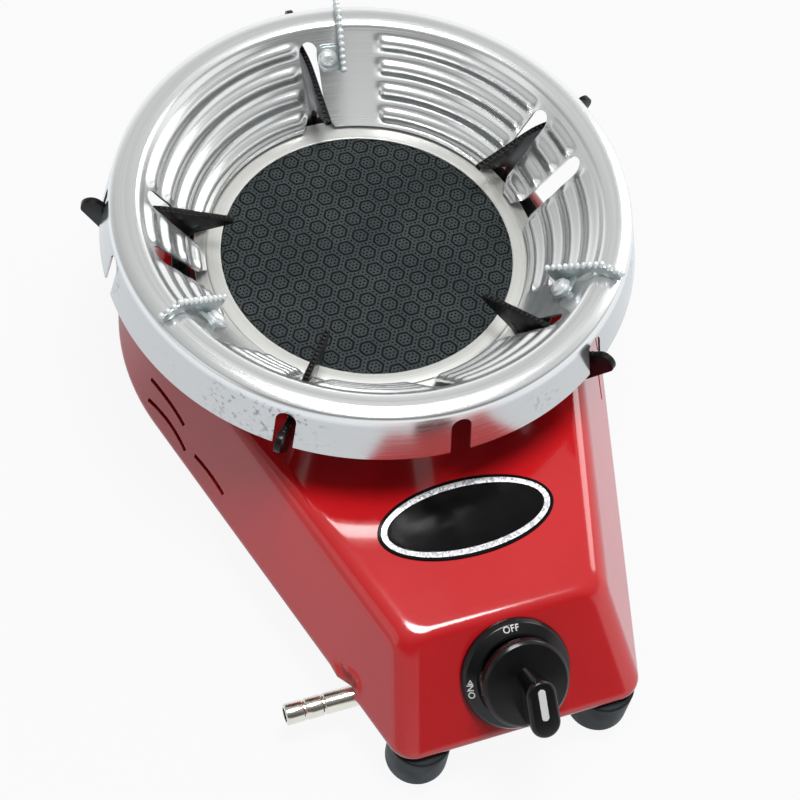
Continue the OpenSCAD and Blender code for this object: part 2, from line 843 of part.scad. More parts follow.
// Inlet pipe with an offset bend, whose free end is the hose nipple with two ring grooves
module inlet_pipe() {
    color("silver")
    on_panel() translate([0, 0, -inlet_depth])
        rotate([0, -90, 0]) rotate([0, 0, pipe_turn]) {
            pipe_bend();
            translate([pipe_offset, 0, 0])
                rotate_extrude()
                    polygon(concat(
                        [[pipe_bore_r, nipple_x], [pipe_r, nipple_x]],
                        [for (k = [2, 1]) let (z = nipple_reach - k * groove_pitch) each [
                            [pipe_r, z - groove_w], [pipe_r - groove_deep, z - groove_w / 2],
                            [pipe_r - groove_deep, z + groove_w / 2], [pipe_r, z + groove_w]]],
                        [[pipe_r, nipple_reach - 0.6], [pipe_r - 0.6, nipple_reach], [pipe_bore_r, nipple_reach]]
                    ));
        }
}

// Union nut over the valve's inlet boss and the pipe
module inlet_nut() {
    start = inlet_boss_x - nut_lap;
    color("goldenrod")
    on_panel() translate([0, 0, -inlet_depth])
        rotate([0, -90, 0])
            difference() {
                translate([0, 0, start]) rotate([0, 0, 30]) cylinder(r = union_r, h = 2.4 * nut_lap, $fn = 6);
                translate([0, 0, start - 1]) cylinder(r = inlet_boss_r + run_gap, h = nut_lap + 1);
                translate([0, 0, start]) cylinder(r = pipe_r + run_gap, h = 3 * nut_lap);
            }
}

// Bezel ring on the panel, around the knob
module knob_bezel() {
    round = 2.5;
    color("black")
    on_panel()
        rotate_extrude()
            polygon(concat(
                [[bezel_in_r, 0], [bezel_r, 0]],
                [for (a = [0 : 15 : 90])
                    [bezel_r - round + round * cos(a), bezel_high - round + round * sin(a)]],
                [[bezel_in_r + 2, bezel_high], [bezel_in_r, bezel_high - 2]]
            ));
}

// Plug that opens the gas way as it turns, with a slot for the stem's tongue
module valve_plug() {
    length = plug_end - chamber_end - 0.3;
    port_r = 2;
    color("goldenrod")
    on_panel() translate([0, 0, -plug_end + 0.1])
        difference() {
            cylinder(r = plug_r, h = length);
            translate([-tongue_w / 2 - 0.1, -tongue_t / 2 - 0.1, 0.5])
                cube([tongue_w + 0.2, tongue_t + 0.2, length]);
            for (turn = [0, -90])
                translate([0, 0, plug_end - inlet_depth])
                    rotate([-90, 0, turn])
                        cylinder(r = port_r, h = 2 * plug_r);
        }
}

// One unbroken coil of round wire around the stem
function coil_point(turn, side) =
    let (
        a = 360 * turn,
        b = 360 * side / 6,
        rise = (spring_low - spring_high - 2 * wire_r) / spring_turns,
        r = spring_r + wire_r * cos(b)
    )
    [r * cos(a), r * sin(a), -spring_low + wire_r + rise * turn + wire_r * sin(b)];

module stem_spring() {
    rings = spring_turns * 8;
    points = [for (k = [0 : rings]) each [for (s = [0 : 5]) coil_point(k / 8, s)]];
    sides = [for (k = [0 : rings - 1]) each [for (s = [0 : 5])
        let (a = k * 6 + s, b = k * 6 + (s + 1) % 6)
        each [[a, b, b + 6], [a, b + 6, a + 6]]]];
    caps = [[for (s = [5 : -1 : 0]) s], [for (s = [0 : 5]) rings * 6 + s]];
    color("silver")
    on_panel() polyhedron(points, concat(sides, caps), convexity = 8);
}

// Stem: a tongue in the plug, a collar under the cover, and a round end in the knob
module valve_stem() {
    color("silver")
    on_panel() {
        translate([0, 0, -chamber_end + push_travel + 0.5])
            cylinder(r = stem_r, h = stem_top + chamber_end - push_travel - 0.5);
        translate([0, 0, -collar_depth - collar_t]) cylinder(r = stem_collar_r, h = collar_t);
        translate([-tongue_w / 2, -tongue_t / 2, -tongue_end])
            cube([tongue_w, tongue_t, tongue_end - chamber_end + push_travel + 1]);
    }
}

// Knob: a round skirt and a bar grip that leans back to its narrower face
module knob() {
    skirt_top = knob_low + knob_skirt;
    foot_len = grip_len + 2 * grip_lean;
    round = 2;
    color("black")
    on_panel() difference() {
        union() {
            rotate_extrude()
                polygon(concat(
                    [[0, knob_low], [knob_r - 1, knob_low]],
                    [for (a = [0 : 15 : 90])
                        [knob_r - round + round * cos(a), skirt_top - round + round * sin(a)]],
                    [[0, skirt_top + 1.5]]
                ));
            intersection() {
                translate([0, -grip_drop, skirt_top - 1])
                    linear_extrude(knob_front - skirt_top + 1)
                        polygon([for (a = [0 : 10 : 350])
                            [grip_w / 2 * cos(a), grip_w / 2 * sin(a) + sign(sin(a)) * (foot_len - grip_w) / 2]]);
                rotate([90, 0, 90])
                    linear_extrude(grip_w + 2, center = true)
                        polygon([
                            [-foot_len / 2 - grip_drop, skirt_top - 1], [foot_len / 2 - grip_drop, skirt_top - 1],
                            [grip_len / 2 - grip_drop, knob_front], [-grip_len / 2 - grip_drop, knob_front]
                        ]);
            }
        }
        translate([0, 0, knob_low - 1]) cylinder(r = stem_r + run_gap, h = stem_top - knob_low + 1.2);
        translate([-inlay_w / 2, inlay_up - inlay_len / 2, knob_front - inlay_t])
            cube([inlay_w, inlay_len, inlay_t + 1]);
    }
}

module knob_inlay() {
    color("silver")
    on_panel()
        translate([-inlay_w / 2, inlay_up - inlay_len / 2, knob_front - inlay_t])
            cube([inlay_w, inlay_len, inlay_t]);
}

// Flat ring on the deck that carries the claws
module base_ring() {
    color("black")
    at_burner() translate([0, 0, base_ring_low])
        difference() {
            cylinder(r = base_ring_out, h = base_ring_t);
            translate([0, 0, -1]) cylinder(r = base_ring_in, h = base_ring_t + 2);
        }
}

// Claw: a leg on the base ring, an arm in over the plate, and a finger out through the wind ring's slot
module claw(deg) {
    finger = [claw_out_r - finger_r, claw_end_h - finger_r];
    leg_in = base_ring_in + leg_set;
    leg_out = base_ring_out - leg_set;
    color("black")
    turned(deg) radial_plate(claw_t)
        polygon(concat(
            [[claw_in_r, claw_tip_h - tip_deep], [claw_in_r, claw_tip_h], [crest_r, claw_crest_h], [dip_r, dip_h]],
            [for (a = [130 : -16 : -14]) finger + finger_r * [cos(a), sin(a)]],
            [[heel_r, heel_h], [leg_out, web_h - web_step]],
            [[leg_out, base_ring_top], [leg_in, base_ring_top], [leg_in, web_h]]
        ));
}

module claw_right() claw(claw_turns[0]);
module claw_rear() claw(claw_turns[1]);
module claw_left() claw(claw_turns[2]);
module claw_front_left() claw(claw_turns[3]);
module claw_front_right() claw(claw_turns[4]);

// Middle line of the wind ring's sheet
function rib_line(k) = [for (j = [-rib_steps : rib_steps])
    let (x = j / rib_steps)
    wall_top + wall_dir * (rib_first + k * rib_pitch + x * rib_w / 2) + wall_in * rib_high * (1 + cos(180 * x)) / 2];

ring_line = concat(
    [[skirt_r, skirt_h]],
    [for (i = [0 : bend_steps]) let (a = 90 * i / bend_steps)
        [lip_out_r - ring_t / 2 - outer_bend, lip_mid_h - outer_bend] + outer_bend * [cos(a), sin(a)]],
    [for (i = [0 : bend_steps]) let (a = 90 + wall_slope * i / bend_steps)
        [lip_in_r + inner_bend, lip_mid_h - inner_bend] + inner_bend * [cos(a), sin(a)]],
    [for (k = [0 : rib_count - 1]) each rib_line(k)],
    [wall_low]
);

// Direction square to a line at one of its points, on the side that faces up and in
function across(p, q) = [q.y - p.y, p.x - q.x] / norm(q - p);
function line_out(line, i) =
    let (
        last = len(line) - 1,
        a = across(line[max(i - 1, 0)], line[max(i, 1)]),
        b = across(line[min(i, last - 1)], line[min(i + 1, last)])
    )
    (a + b) / norm(a + b);

// Cross-section of the sheet, half its thickness to each side of the line
module sheet_section(line, t) {
    last = len(line) - 1;
    polygon(concat(
        [for (i = [0 : last]) line[i] + line_out(line, i) * t / 2],
        [for (i = [last : -1 : 0]) line[i] - line_out(line, i) * t / 2]
    ));
}

// Radial cutter of a slot: round at the top, open and flared at the bottom
module slot_cutter() {
    round_h = slot_top_h - slot_w / 2;
    low = wall_low_h - 2 * ring_t;
    translate([wall_low_r - 5, 0, 0])
        rotate([90, 0, 90])
            linear_extrude(skirt_r - wall_low_r + 10)
                polygon(concat(
                    [[slot_w / 2 + slot_flare, low], [slot_w / 2, low + 1.6 * slot_flare]],
                    [for (a = [0 : 15 : 180]) [slot_w / 2 * cos(a), round_h + slot_w / 2 * sin(a)]],
                    [[-slot_w / 2, low + 1.6 * slot_flare], [-slot_w / 2 - slot_flare, low]]
                ));
}

// Places children at a bracket's screw: local Z points off the wall, towards the burner axis
module at_tab(k) {
    spot = wall_top + wall_dir * tab_down;
    turned(bracket_turns[k] + bracket_hands[k] * tab_turn)
        translate([spot.x, 0, spot.y])
            rotate([0, atan2(wall_in.x, wall_in.y), 0])
                children();
}

module wind_ring() {
    color("gainsboro")
    difference() {
        at_burner() rotate_extrude() sheet_section(ring_line, ring_t);
        for (deg = concat(claw_turns, spare_turns)) turned(deg) slot_cutter();
        for (k = [0 : 2])
            at_tab(k) translate([0, 0, -wall_cut]) cylinder(r = bracket_screw_r + hole_gap, h = 2 * wall_cut);
    }
}

// One row of beads along an edge of a bracket, from one point to the next
module bead_row(from, to) {
    count = round(norm(to - from) / bead_pitch);
    for (k = [0 : count])
        let (p = from + (to - from) * k / count)
            translate([p.x, 0, p.y])
                rotate([90, 0, 0])
                    cylinder(r = bead_r, h = bracket_t + 2 * bead_proud, center = true, $fn = 32);
}

// Serrated bracket: an upright fin over the lip, beads along its top, and a tab screwed to the wall
module ring_bracket(k) {
    lip_seat = lip_h + seat_gap;
    wall_seat = wall_top + wall_dir * (tab_down + tab_len / 2) + wall_in * seat_off;
    elbow = wall_seat + wall_dir * (lip_seat - wall_seat.y) / wall_dir.y;
    outer = [lip_out_r - bead_r, lip_h + bracket_rise - outer_drop];
    bend = [lip_in_r + 2, lip_h + bracket_rise];
    inner = [bracket_in_r, bracket_in_h];
    color("silver")
    union() {
        turned(bracket_turns[k]) {
            radial_plate(bracket_t)
                polygon([
                    elbow, [lip_out_r - bead_r, lip_seat], outer, bend, inner, inner + tip_cut, wall_seat
                ]);
            bead_row(inner, bend);
            bead_row(bend, outer);
        }
        at_tab(k)
            difference() {
                translate([-tab_len / 2, -tab_w / 2 - bracket_hands[k] * tab_shift, seat_off + tab_gap])
                    cube([tab_len, tab_w, tab_t]);
                cylinder(r = bracket_screw_r + hole_gap, h = tab_top + 1);
            }
    }
}

module bracket_rear() ring_bracket(0);
module bracket_left() ring_bracket(1);
module bracket_right() ring_bracket(2);

// Pan-head screws with washers, from the tabs through the wall
module bracket_screws() {
    washer_t = 0.8;
    length = tab_top + washer_t + ring_t / 2 + tab_gap + 1.6 * bracket_screw_r + 1;
    color("silver")
    for (k = [0 : 2])
        at_tab(k) {
            translate([0, 0, tab_top]) cylinder(r = 2.4 * bracket_screw_r, h = washer_t);
            translate([0, 0, tab_top + washer_t])
                mirror([0, 0, 1])
                    screw(bracket_screw_r, length);
        }
}

module bracket_nuts() {
    color("silver")
    for (k = [0 : 2])
        at_tab(k)
            translate([0, 0, -ring_t / 2 - tab_gap])
                mirror([0, 0, 1])
                    nut(bracket_screw_r);
}

body_shell();
name_plate();
foot_front_left();
foot_front_right();
foot_rear_left();
foot_rear_right();
foot_screws();
foot_nuts();
burner_strap();
strap_screws();
strap_nuts();
burner_screws();
burner_bowl();
plate_gasket();
ceramic_plate();
burner_rim();
mixing_tube();
air_shutter();
injector();
valve_body();
valve_cover();
valve_screws();
inlet_pipe();
inlet_nut();
knob_bezel();
valve_plug();
stem_spring();
valve_stem();
knob();
knob_inlay();
base_ring();
claw_right();
claw_rear();
claw_left();
claw_front_left();
claw_front_right();
wind_ring();
bracket_rear();
bracket_left();
bracket_right();
bracket_screws();
bracket_nuts();
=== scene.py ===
"""Dresses a tabletop infrared gas stove around its packed construction.

Sizes are millimetres in the part's own frame: Z is up, the ground is Z = 0 and the knob panel
faces -Y. A finished piece settles into the frame in metres. Each sub-assembly is a class that
holds its sizes, builds its meshes and dresses them.
"""

import json
import logging
import math
from dataclasses import dataclass
from enum import Enum
from typing import Any, Iterable, Sequence

import bmesh
import bpy
import numpy as np
from mathutils import Matrix, Vector
from mathutils.geometry import delaunay_2d_cdt

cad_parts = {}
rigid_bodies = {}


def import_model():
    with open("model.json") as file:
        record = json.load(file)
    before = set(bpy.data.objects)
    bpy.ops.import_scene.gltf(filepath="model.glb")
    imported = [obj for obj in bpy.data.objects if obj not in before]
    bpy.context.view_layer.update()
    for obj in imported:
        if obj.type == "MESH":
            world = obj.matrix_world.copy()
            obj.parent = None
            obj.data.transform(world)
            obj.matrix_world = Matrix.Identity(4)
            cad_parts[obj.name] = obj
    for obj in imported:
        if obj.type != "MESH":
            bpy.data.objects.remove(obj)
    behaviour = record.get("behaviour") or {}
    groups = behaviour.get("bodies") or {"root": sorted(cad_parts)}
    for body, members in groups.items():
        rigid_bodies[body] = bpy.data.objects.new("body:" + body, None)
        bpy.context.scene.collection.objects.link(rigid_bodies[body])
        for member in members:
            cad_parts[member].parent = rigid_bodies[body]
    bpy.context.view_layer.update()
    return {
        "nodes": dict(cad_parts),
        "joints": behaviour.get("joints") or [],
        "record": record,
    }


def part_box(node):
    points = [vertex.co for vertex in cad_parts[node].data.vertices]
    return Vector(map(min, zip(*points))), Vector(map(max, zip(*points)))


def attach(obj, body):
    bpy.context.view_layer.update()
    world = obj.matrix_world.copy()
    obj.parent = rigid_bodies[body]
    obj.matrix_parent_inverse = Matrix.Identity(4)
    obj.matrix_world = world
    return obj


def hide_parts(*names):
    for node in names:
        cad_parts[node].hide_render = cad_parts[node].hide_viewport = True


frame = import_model()

log = logging.getLogger("stove")

MM = 0.001
CORE_R = 0.01
Point = tuple[float, float]
Spot = tuple[float, float, float]
Colour = tuple[float, float, float]


class Body(Enum):
    """Bodies of the construction that a piece can ride on."""

    STOVE = "stove"
    KNOB = "knob"
    PAN_SUPPORT = "pan_support"
    WIND_RING = "wind_ring"


def node_box(node: str) -> tuple[np.ndarray, np.ndarray]:
    """Lowest and highest corner of a construction node, in millimetres."""
    low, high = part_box(node)
    return np.array(low) / MM, np.array(high) / MM


RING_LOW, RING_HIGH = node_box("wind_ring")
SHELL_LOW, SHELL_HIGH = node_box("body_shell")
AXIS_Y = (RING_LOW[1] + RING_HIGH[1]) / 2
AXIS = Vector((0, AXIS_Y * MM, 0))
DECK_H = SHELL_HIGH[2]
EDGE_H = SHELL_LOW[2]
LIP_H = RING_HIGH[2]
KNOB_JOINT = next(joint for joint in frame["joints"] if joint["name"] == "knob_turn")
NIPPLE = next(mount for mount in frame["record"]["mounts"] if mount["name"] == "hose_nipple")
PIPE_Y, PIPE_H = NIPPLE["pos_m"][1] / MM, NIPPLE["pos_m"][2] / MM


# Places


def turned(deg: float) -> Matrix:
    """Frame on the burner axis, turned about it, with X pointing outwards."""
    return Matrix.Translation((0, AXIS_Y, 0)) @ Matrix.Rotation(math.radians(deg), 4, "Z")


def on_panel() -> Matrix:
    """Frame where the knob's axis meets the panel: Z points out of it and Y up it."""
    out = Vector(KNOB_JOINT["axis"]).normalized()
    across = Vector((1, 0, 0))
    turn = Matrix((across, out.cross(across), out)).transposed().to_4x4()
    return Matrix.Translation(Vector(KNOB_JOINT["pos_m"]) / MM) @ turn


def smooth(x: np.ndarray | float) -> np.ndarray:
    """Smooth step from 0 to 1 over the unit range."""
    x = np.clip(x, 0, 1)
    return x * x * (3 - 2 * x)


# Outlines


def arc(centre: Point, radius: float, start: float, end: float, steps: int) -> list[Point]:
    """Points of an arc.

    Args:
        centre: Centre of the arc.
        radius: Radius of the arc.
        start: First angle in degrees.
        end: Last angle in degrees.
        steps: Number of chords.

    Returns:
        The arc's points, both ends included.
    """
    turns = np.radians(np.linspace(start, end, steps + 1))
    return [(centre[0] + radius * math.cos(a), centre[1] + radius * math.sin(a)) for a in turns]


def fillet(points: Sequence[Point], radii: float | Sequence[float], steps: int = 5) -> list[Point]:
    """Rounds the corners of a closed outline.

    Args:
        points: Corners of the outline.
        radii: One radius, or one for each corner.
        steps: Chords in a rounded corner.

    Returns:
        The rounded outline.
    """
    corners = [Vector(p) for p in points]
    each = [radii] * len(corners) if isinstance(radii, (int, float)) else list(radii)
    made: list[Point] = []
    for k, corner in enumerate(corners):
        back = corners[k - 1] - corner
        ahead = corners[(k + 1) % len(corners)] - corner
        half = back.angle(ahead) / 2
        room = 0.48 * min(back.length, ahead.length)
        run = min(each[k] / math.tan(half), room) if half < math.radians(88) else 0
        if run < 1e-4:
            made.append((corner.x, corner.y))
            continue
        radius = run * math.tan(half)
        centre = corner + (back.normalized() + ahead.normalized()).normalized() * radius / math.sin(half)
        first = corner + back.normalized() * run - centre
        last = corner + ahead.normalized() * run - centre
        start = math.atan2(first.y, first.x)
        sweep = (math.atan2(last.y, last.x) - start + math.pi) % (2 * math.pi) - math.pi
        for step in range(steps + 1):
            a = start + sweep * step / steps
            made.append((centre.x + radius * math.cos(a), centre.y + radius * math.sin(a)))
    return made


# Meshes


def linked(name: str, data: bpy.types.ID) -> bpy.types.Object:
    """Makes an object of some data and links it to the scene."""
    made = bpy.data.objects.new(name, data)
    bpy.context.scene.collection.objects.link(made)
    return made


def mesh_object(name: str, verts: Iterable[Sequence[float]], faces: Iterable[Sequence[int]],
                place: Matrix | None = None) -> bpy.types.Object:
    """Makes an object from points and faces, with doubles merged and normals outwards.

    Args:
        name: Name of the object.
        verts: Points in millimetres.
        faces: Indices of each face's corners.
        place: Frame that the points are given in.

    Returns:
        The new object, at the origin.
    """
    mesh = bpy.data.meshes.new(name)
    mesh.from_pydata([tuple(v) for v in verts], [], [tuple(f) for f in faces])
    draft = bmesh.new()
    draft.from_mesh(mesh)
    bmesh.ops.remove_doubles(draft, verts=draft.verts, dist=1e-4)
    bmesh.ops.dissolve_degenerate(draft, edges=draft.edges, dist=1e-5)
    if place is not None:
        draft.transform(place)
    bmesh.ops.recalc_face_normals(draft, faces=draft.faces)
    if draft.calc_volume(signed=True) < 0:
        bmesh.ops.reverse_faces(draft, faces=draft.faces)
    draft.to_mesh(mesh)
    draft.free()
    return linked(name, mesh)


def grid_faces(rows: int, cols: int, ring_rows: bool, ring_cols: bool) -> list[tuple[int, ...]]:
    """Quads of a grid of points, closed along its rows or columns where asked."""
    return [
        (r * cols + c, r * cols + (c + 1) % cols,
         (r + 1) % rows * cols + (c + 1) % cols, (r + 1) % rows * cols + c)
        for r in range(rows if ring_rows else rows - 1)
        for c in range(cols if ring_cols else cols - 1)
    ]


def revolved(name: str, section: Sequence[Point], steps: int, place: Matrix) -> bpy.types.Object:
    """Turns a closed section of radius and height about the Z axis of a frame.

    Args:
        name: Name of the object.
        section: Closed outline of radius and height.
        steps: Facets around the axis.
        place: Frame whose Z axis is turned about.

    Returns:
        The closed solid of revolution.
    """
    turns = np.linspace(0, 2 * math.pi, steps, endpoint=False)
    verts = [(r * math.cos(a), r * math.sin(a), h) for r, h in section for a in turns]
    return mesh_object(name, verts, grid_faces(len(section), steps, True, True), place)


def lofted(name: str, loops: Sequence[Sequence[Sequence[float]]], place: Matrix) -> bpy.types.Object:
    """Skins a stack of loops with equal counts, with a face on both ends."""
    count = len(loops[0])
    faces = grid_faces(len(loops), count, False, True)
    faces += [tuple(range(count)), tuple(range((len(loops) - 1) * count, len(loops) * count))]
    return mesh_object(name, [p for loop in loops for p in loop], faces, place)


def plate(name: str, outline: Sequence[Point], thick: float, place: Matrix) -> bpy.types.Object:
    """Stands an outline of X and Z up as a plate centred on Y = 0 of a frame."""
    loops = [[(x, side * thick / 2, z) for x, z in outline] for side in (-1, 1)]
    return lofted(name, loops, place)


def bake(obj: bpy.types.Object) -> bpy.types.Object:
    """Turns an object's evaluated shape into its plain mesh and drops its modifiers."""
    bpy.context.view_layer.update()
    graph = bpy.context.evaluated_depsgraph_get()
    made = bpy.data.meshes.new_from_object(obj.evaluated_get(graph), depsgraph=graph)
    obj.modifiers.clear()
    old, obj.data = obj.data, made
    made.name = obj.name
    bpy.data.meshes.remove(old)
    return obj


def bevelled(obj: bpy.types.Object, width: float, segments: int = 2, angle: float = 40) -> bpy.types.Object:
    """Rounds the edges of an object that are sharper than an angle."""
    edge = obj.modifiers.new("edge", "BEVEL")
    edge.width, edge.segments = width, segments
    edge.limit_method, edge.angle_limit = "ANGLE", math.radians(angle)
    return bake(obj)


def joined(name: str, pieces: Sequence[bpy.types.Object]) -> bpy.types.Object:
    """Brings several objects together into one and removes them."""
    draft = bmesh.new()
    for piece in pieces:
        draft.from_mesh(piece.data)
    mesh = bpy.data.meshes.new(name)
    draft.to_mesh(mesh)
    draft.free()
    for piece in pieces:
        bpy.data.objects.remove(piece)
    return linked(name, mesh)


def carved(obj: bpy.types.Object, tool: bpy.types.Object, way: str = "DIFFERENCE") -> bpy.types.Object:
    """Cuts one object with another, or unites them, and removes the tool."""
    cut = obj.modifiers.new("cut", "BOOLEAN")
    cut.operation, cut.solver, cut.object = way, "EXACT", tool
    bake(obj)
    bpy.data.objects.remove(tool)
    return obj


# Finishes


class Draft:
    """A node tree while it is drawn up."""

    def __init__(self, tree: bpy.types.NodeTree) -> None:
        """Takes on a tree and empties it."""
        self.tree = tree
        tree.nodes.clear()

    def feed(self, socket: bpy.types.NodeSocket, value: Any) -> None:
        """Links a socket, or sets its value."""
        if isinstance(value, bpy.types.NodeSocket):
            self.tree.links.new(value, socket)
        else:
            socket.default_value = value

    def node(self, kind: str, settings: dict[str, Any] | None = None, **inputs: Any) -> bpy.types.Node:
        """Adds a node, with its settings and its inputs by name or as i0, i1 by place."""
        node = self.tree.nodes.new(kind)
        for key, value in (settings or {}).items():
            setattr(node, key, value)
        for key, value in inputs.items():
            place = int(key[1:]) if key[0] == "i" and key[1:].isdigit() else key.replace("_", " ")
            self.feed(node.inputs[place], value)
        return node

    def maths(self, way: str, a: Any, b: Any = 0.0) -> bpy.types.NodeSocket:
        """One step of arithmetic."""
        return self.node("ShaderNodeMath", {"operation": way}, i0=a, i1=b).outputs[0]

    def vector(self, way: str, a: Any, b: Any = (0, 0, 0)) -> bpy.types.NodeSocket:
        """One step of vector arithmetic."""
        node = self.node("ShaderNodeVectorMath", {"operation": way}, i0=a, i1=b)
        return node.outputs["Value" if way in ("LENGTH", "DOT_PRODUCT") else "Vector"]

    def parts(self, vector: bpy.types.NodeSocket) -> list[bpy.types.NodeSocket]:
        """The three parts of a vector."""
        return list(self.node("ShaderNodeSeparateXYZ", i0=vector).outputs)

    def combine(self, x: Any = 0.0, y: Any = 0.0, z: Any = 0.0) -> bpy.types.NodeSocket:
        """A vector from its three parts."""
        return self.node("ShaderNodeCombineXYZ", i0=x, i1=y, i2=z).outputs[0]

    def ramp(self, value: Any, low: float, high: float, start: float = 0,
             end: float = 1) -> bpy.types.NodeSocket:
        """Smoothly maps a value between two limits to a new range."""
        way = {"interpolation_type": "SMOOTHSTEP"}
        return self.node("ShaderNodeMapRange", way, i0=value, i1=low, i2=high, i3=start, i4=end).outputs[0]


class Shading(Draft):
    """A material's node tree on Object coordinates."""

    def __init__(self, name: str) -> None:
        """Starts a material with one shader."""
        self.material = bpy.data.materials.new(name)
        self.material.use_nodes = True
        super().__init__(self.material.node_tree)
        self.shader = self.node("ShaderNodeBsdfPrincipled")
        self.node("ShaderNodeOutputMaterial", i0=self.shader.outputs[0])
        self.place = self.node("ShaderNodeTexCoord").outputs["Object"]

    def set(self, **values: Any) -> None:
        """Sets or links the shader's own sockets, named with underscores."""
        for name, value in values.items():
            self.feed(self.shader.inputs[name.replace("_", " ")], value)

    def noise(self, scale: float, detail: float = 2.0, at: Any = None, w: Any = None) -> bpy.types.NodeSocket:
        """Cloudy noise at a scale, in 4 dimensions where w is given."""
        settings, more = ({}, {}) if w is None else ({"noise_dimensions": "4D"}, {"W": w})
        return self.node("ShaderNodeTexNoise", settings, Vector=self.place if at is None else at, Scale=scale,
                         Detail=detail, **more).outputs[0]

    def cells(self, scale: float) -> bpy.types.NodeSocket:
        """Colour of crystal-like cells."""
        return self.node("ShaderNodeTexVoronoi", Vector=self.place, Scale=scale).outputs["Color"]

    def blend(self, share: Any, a: Any, b: Any) -> bpy.types.NodeSocket:
        """Mixes two colours."""
        a, b = ((*tone, 1.0) if isinstance(tone, tuple) else tone for tone in (a, b))
        return self.node("ShaderNodeMix", {"data_type": "RGBA"}, i0=share, i6=a, i7=b).outputs[2]

    def bump(self, height: Any, depth: float) -> None:
        """Sets the shader's normal from a height, depth in metres."""
        self.set(Normal=self.node("ShaderNodeBump", Strength=1.0, Distance=depth, Height=height).outputs[0])


@dataclass(frozen=True)
class Finish:
    """A surface finish: a colour that clouds towards another, a roughness and a fine grain."""

    name: str
    slot: str
    colour: Colour
    cloud: Colour
    rough: float = 0.4
    rough_spread: float = 0.06
    metal: float = 0.0
    specular: float = 0.5
    coat: float = 0.0
    coat_rough: float = 0.04
    cloud_scale: float = 40.0
    grain_scale: float = 2500.0
    grain_depth: float = 0.00002

    def material(self) -> bpy.types.Material:
        """Makes the finish's material.

        Returns:
            The procedural material.
        """
        draft = Shading(self.name)
        draft.set(Metallic=self.metal, Specular_IOR_Level=self.specular,
                  Coat_Weight=self.coat, Coat_Roughness=self.coat_rough)
        clouds = draft.ramp(draft.noise(self.cloud_scale, 4.0), 0.3, 0.7)
        draft.set(Base_Color=draft.blend(clouds, self.colour, self.cloud))
        draft.set(Roughness=draft.ramp(draft.noise(self.cloud_scale * 3, 3.0), 0.25, 0.75,
                                       self.rough - self.rough_spread, self.rough + self.rough_spread))
        draft.bump(draft.noise(self.grain_scale, 3.0), self.grain_depth)
        self.pattern(draft)
        return draft.material

    def pattern(self, draft: Shading) -> None:
        """Adds what only this finish has. The plain finish adds nothing."""


@dataclass(frozen=True)
class SpunMetal(Finish):
    """Bright sheet spun about the burner axis: fine rings, and a mottled skirt where asked."""

    skirt_from: float = 1.0
    skirt_top: float = 0.0
    skirt_tone: Colour = (0.64, 0.64, 0.635)
    skirt_gloss: float = 0.07
    mottle: Colour = (0.36, 0.36, 0.37)

    def pattern(self, draft: Shading) -> None:
        """Draws rings around the axis, then scuffs outside a radius and below a height."""
        x, y, z = draft.parts(draft.vector("SUBTRACT", draft.place, tuple(AXIS)))
        radius = draft.vector("LENGTH", draft.combine(x, y))
        across = draft.maths("MULTIPLY", radius, 1800.0)
        around = [draft.maths("DIVIDE", part, radius) for part in (x, y)]
        rings = draft.noise(1.0, 3.0, draft.combine(across, *around), draft.maths("MULTIPLY", z, 1800.0))
        draft.bump(rings, self.grain_depth)
        tone = draft.blend(draft.ramp(rings, 0.3, 0.7), self.colour, self.cloud)
        skirt = draft.maths("MULTIPLY", draft.ramp(radius, self.skirt_from, self.skirt_from + 0.0015),
                            draft.ramp(z, self.skirt_top, self.skirt_top - 0.003))
        patch = draft.ramp(draft.noise(24.0, 2.0), 0.5, 0.68)
        scuff = draft.ramp(draft.noise(420.0, 5.0), 0.52, 0.66)
        worn = draft.maths("MULTIPLY", skirt, draft.maths("MULTIPLY", patch, scuff))
        draft.set(Base_Color=draft.blend(worn, draft.blend(skirt, tone, self.skirt_tone), self.mottle))
        draft.set(Roughness=draft.maths("ADD", draft.ramp(rings, 0.2, 0.8, self.rough - self.rough_spread,
                                                          self.rough + self.rough_spread),
                                        draft.maths("SUBTRACT", draft.maths("MULTIPLY", worn, 0.25),
                                                    draft.maths("MULTIPLY", skirt, self.skirt_gloss))))


@dataclass(frozen=True)
class Spangled(Finish):
    """Zinc plate whose crystals differ a little in tone."""

    crystal_scale: float = 420.0

    def pattern(self, draft: Shading) -> None:
        """Tones the crystals."""
        grain = draft.parts(draft.cells(self.crystal_scale))[0]
        draft.set(Base_Color=draft.blend(grain, self.colour, self.cloud))
        draft.set(Roughness=draft.ramp(grain, 0.0, 1.0, self.rough - self.rough_spread,
                                       self.rough + self.rough_spread))


@dataclass(frozen=True)
class Perforated(Finish):
    """Fired ceramic with painted shade inside its holes and grooves."""

    face_h: float = 0.0
    shade_depth: float = 0.0004
    # Colour of the painted shade below the face
    shade: Colour = (0.004, 0.0045, 0.005)

    def pattern(self, draft: Shading) -> None:
        """Paints shade on what lies below the plate's face."""
        clouds = draft.ramp(draft.noise(self.cloud_scale, 4.0), 0.3, 0.7)
        depth = draft.ramp(draft.parts(draft.place)[2], self.face_h, self.face_h - self.shade_depth)
        draft.set(Base_Color=draft.blend(depth, draft.blend(clouds, self.colour, self.cloud), self.shade))


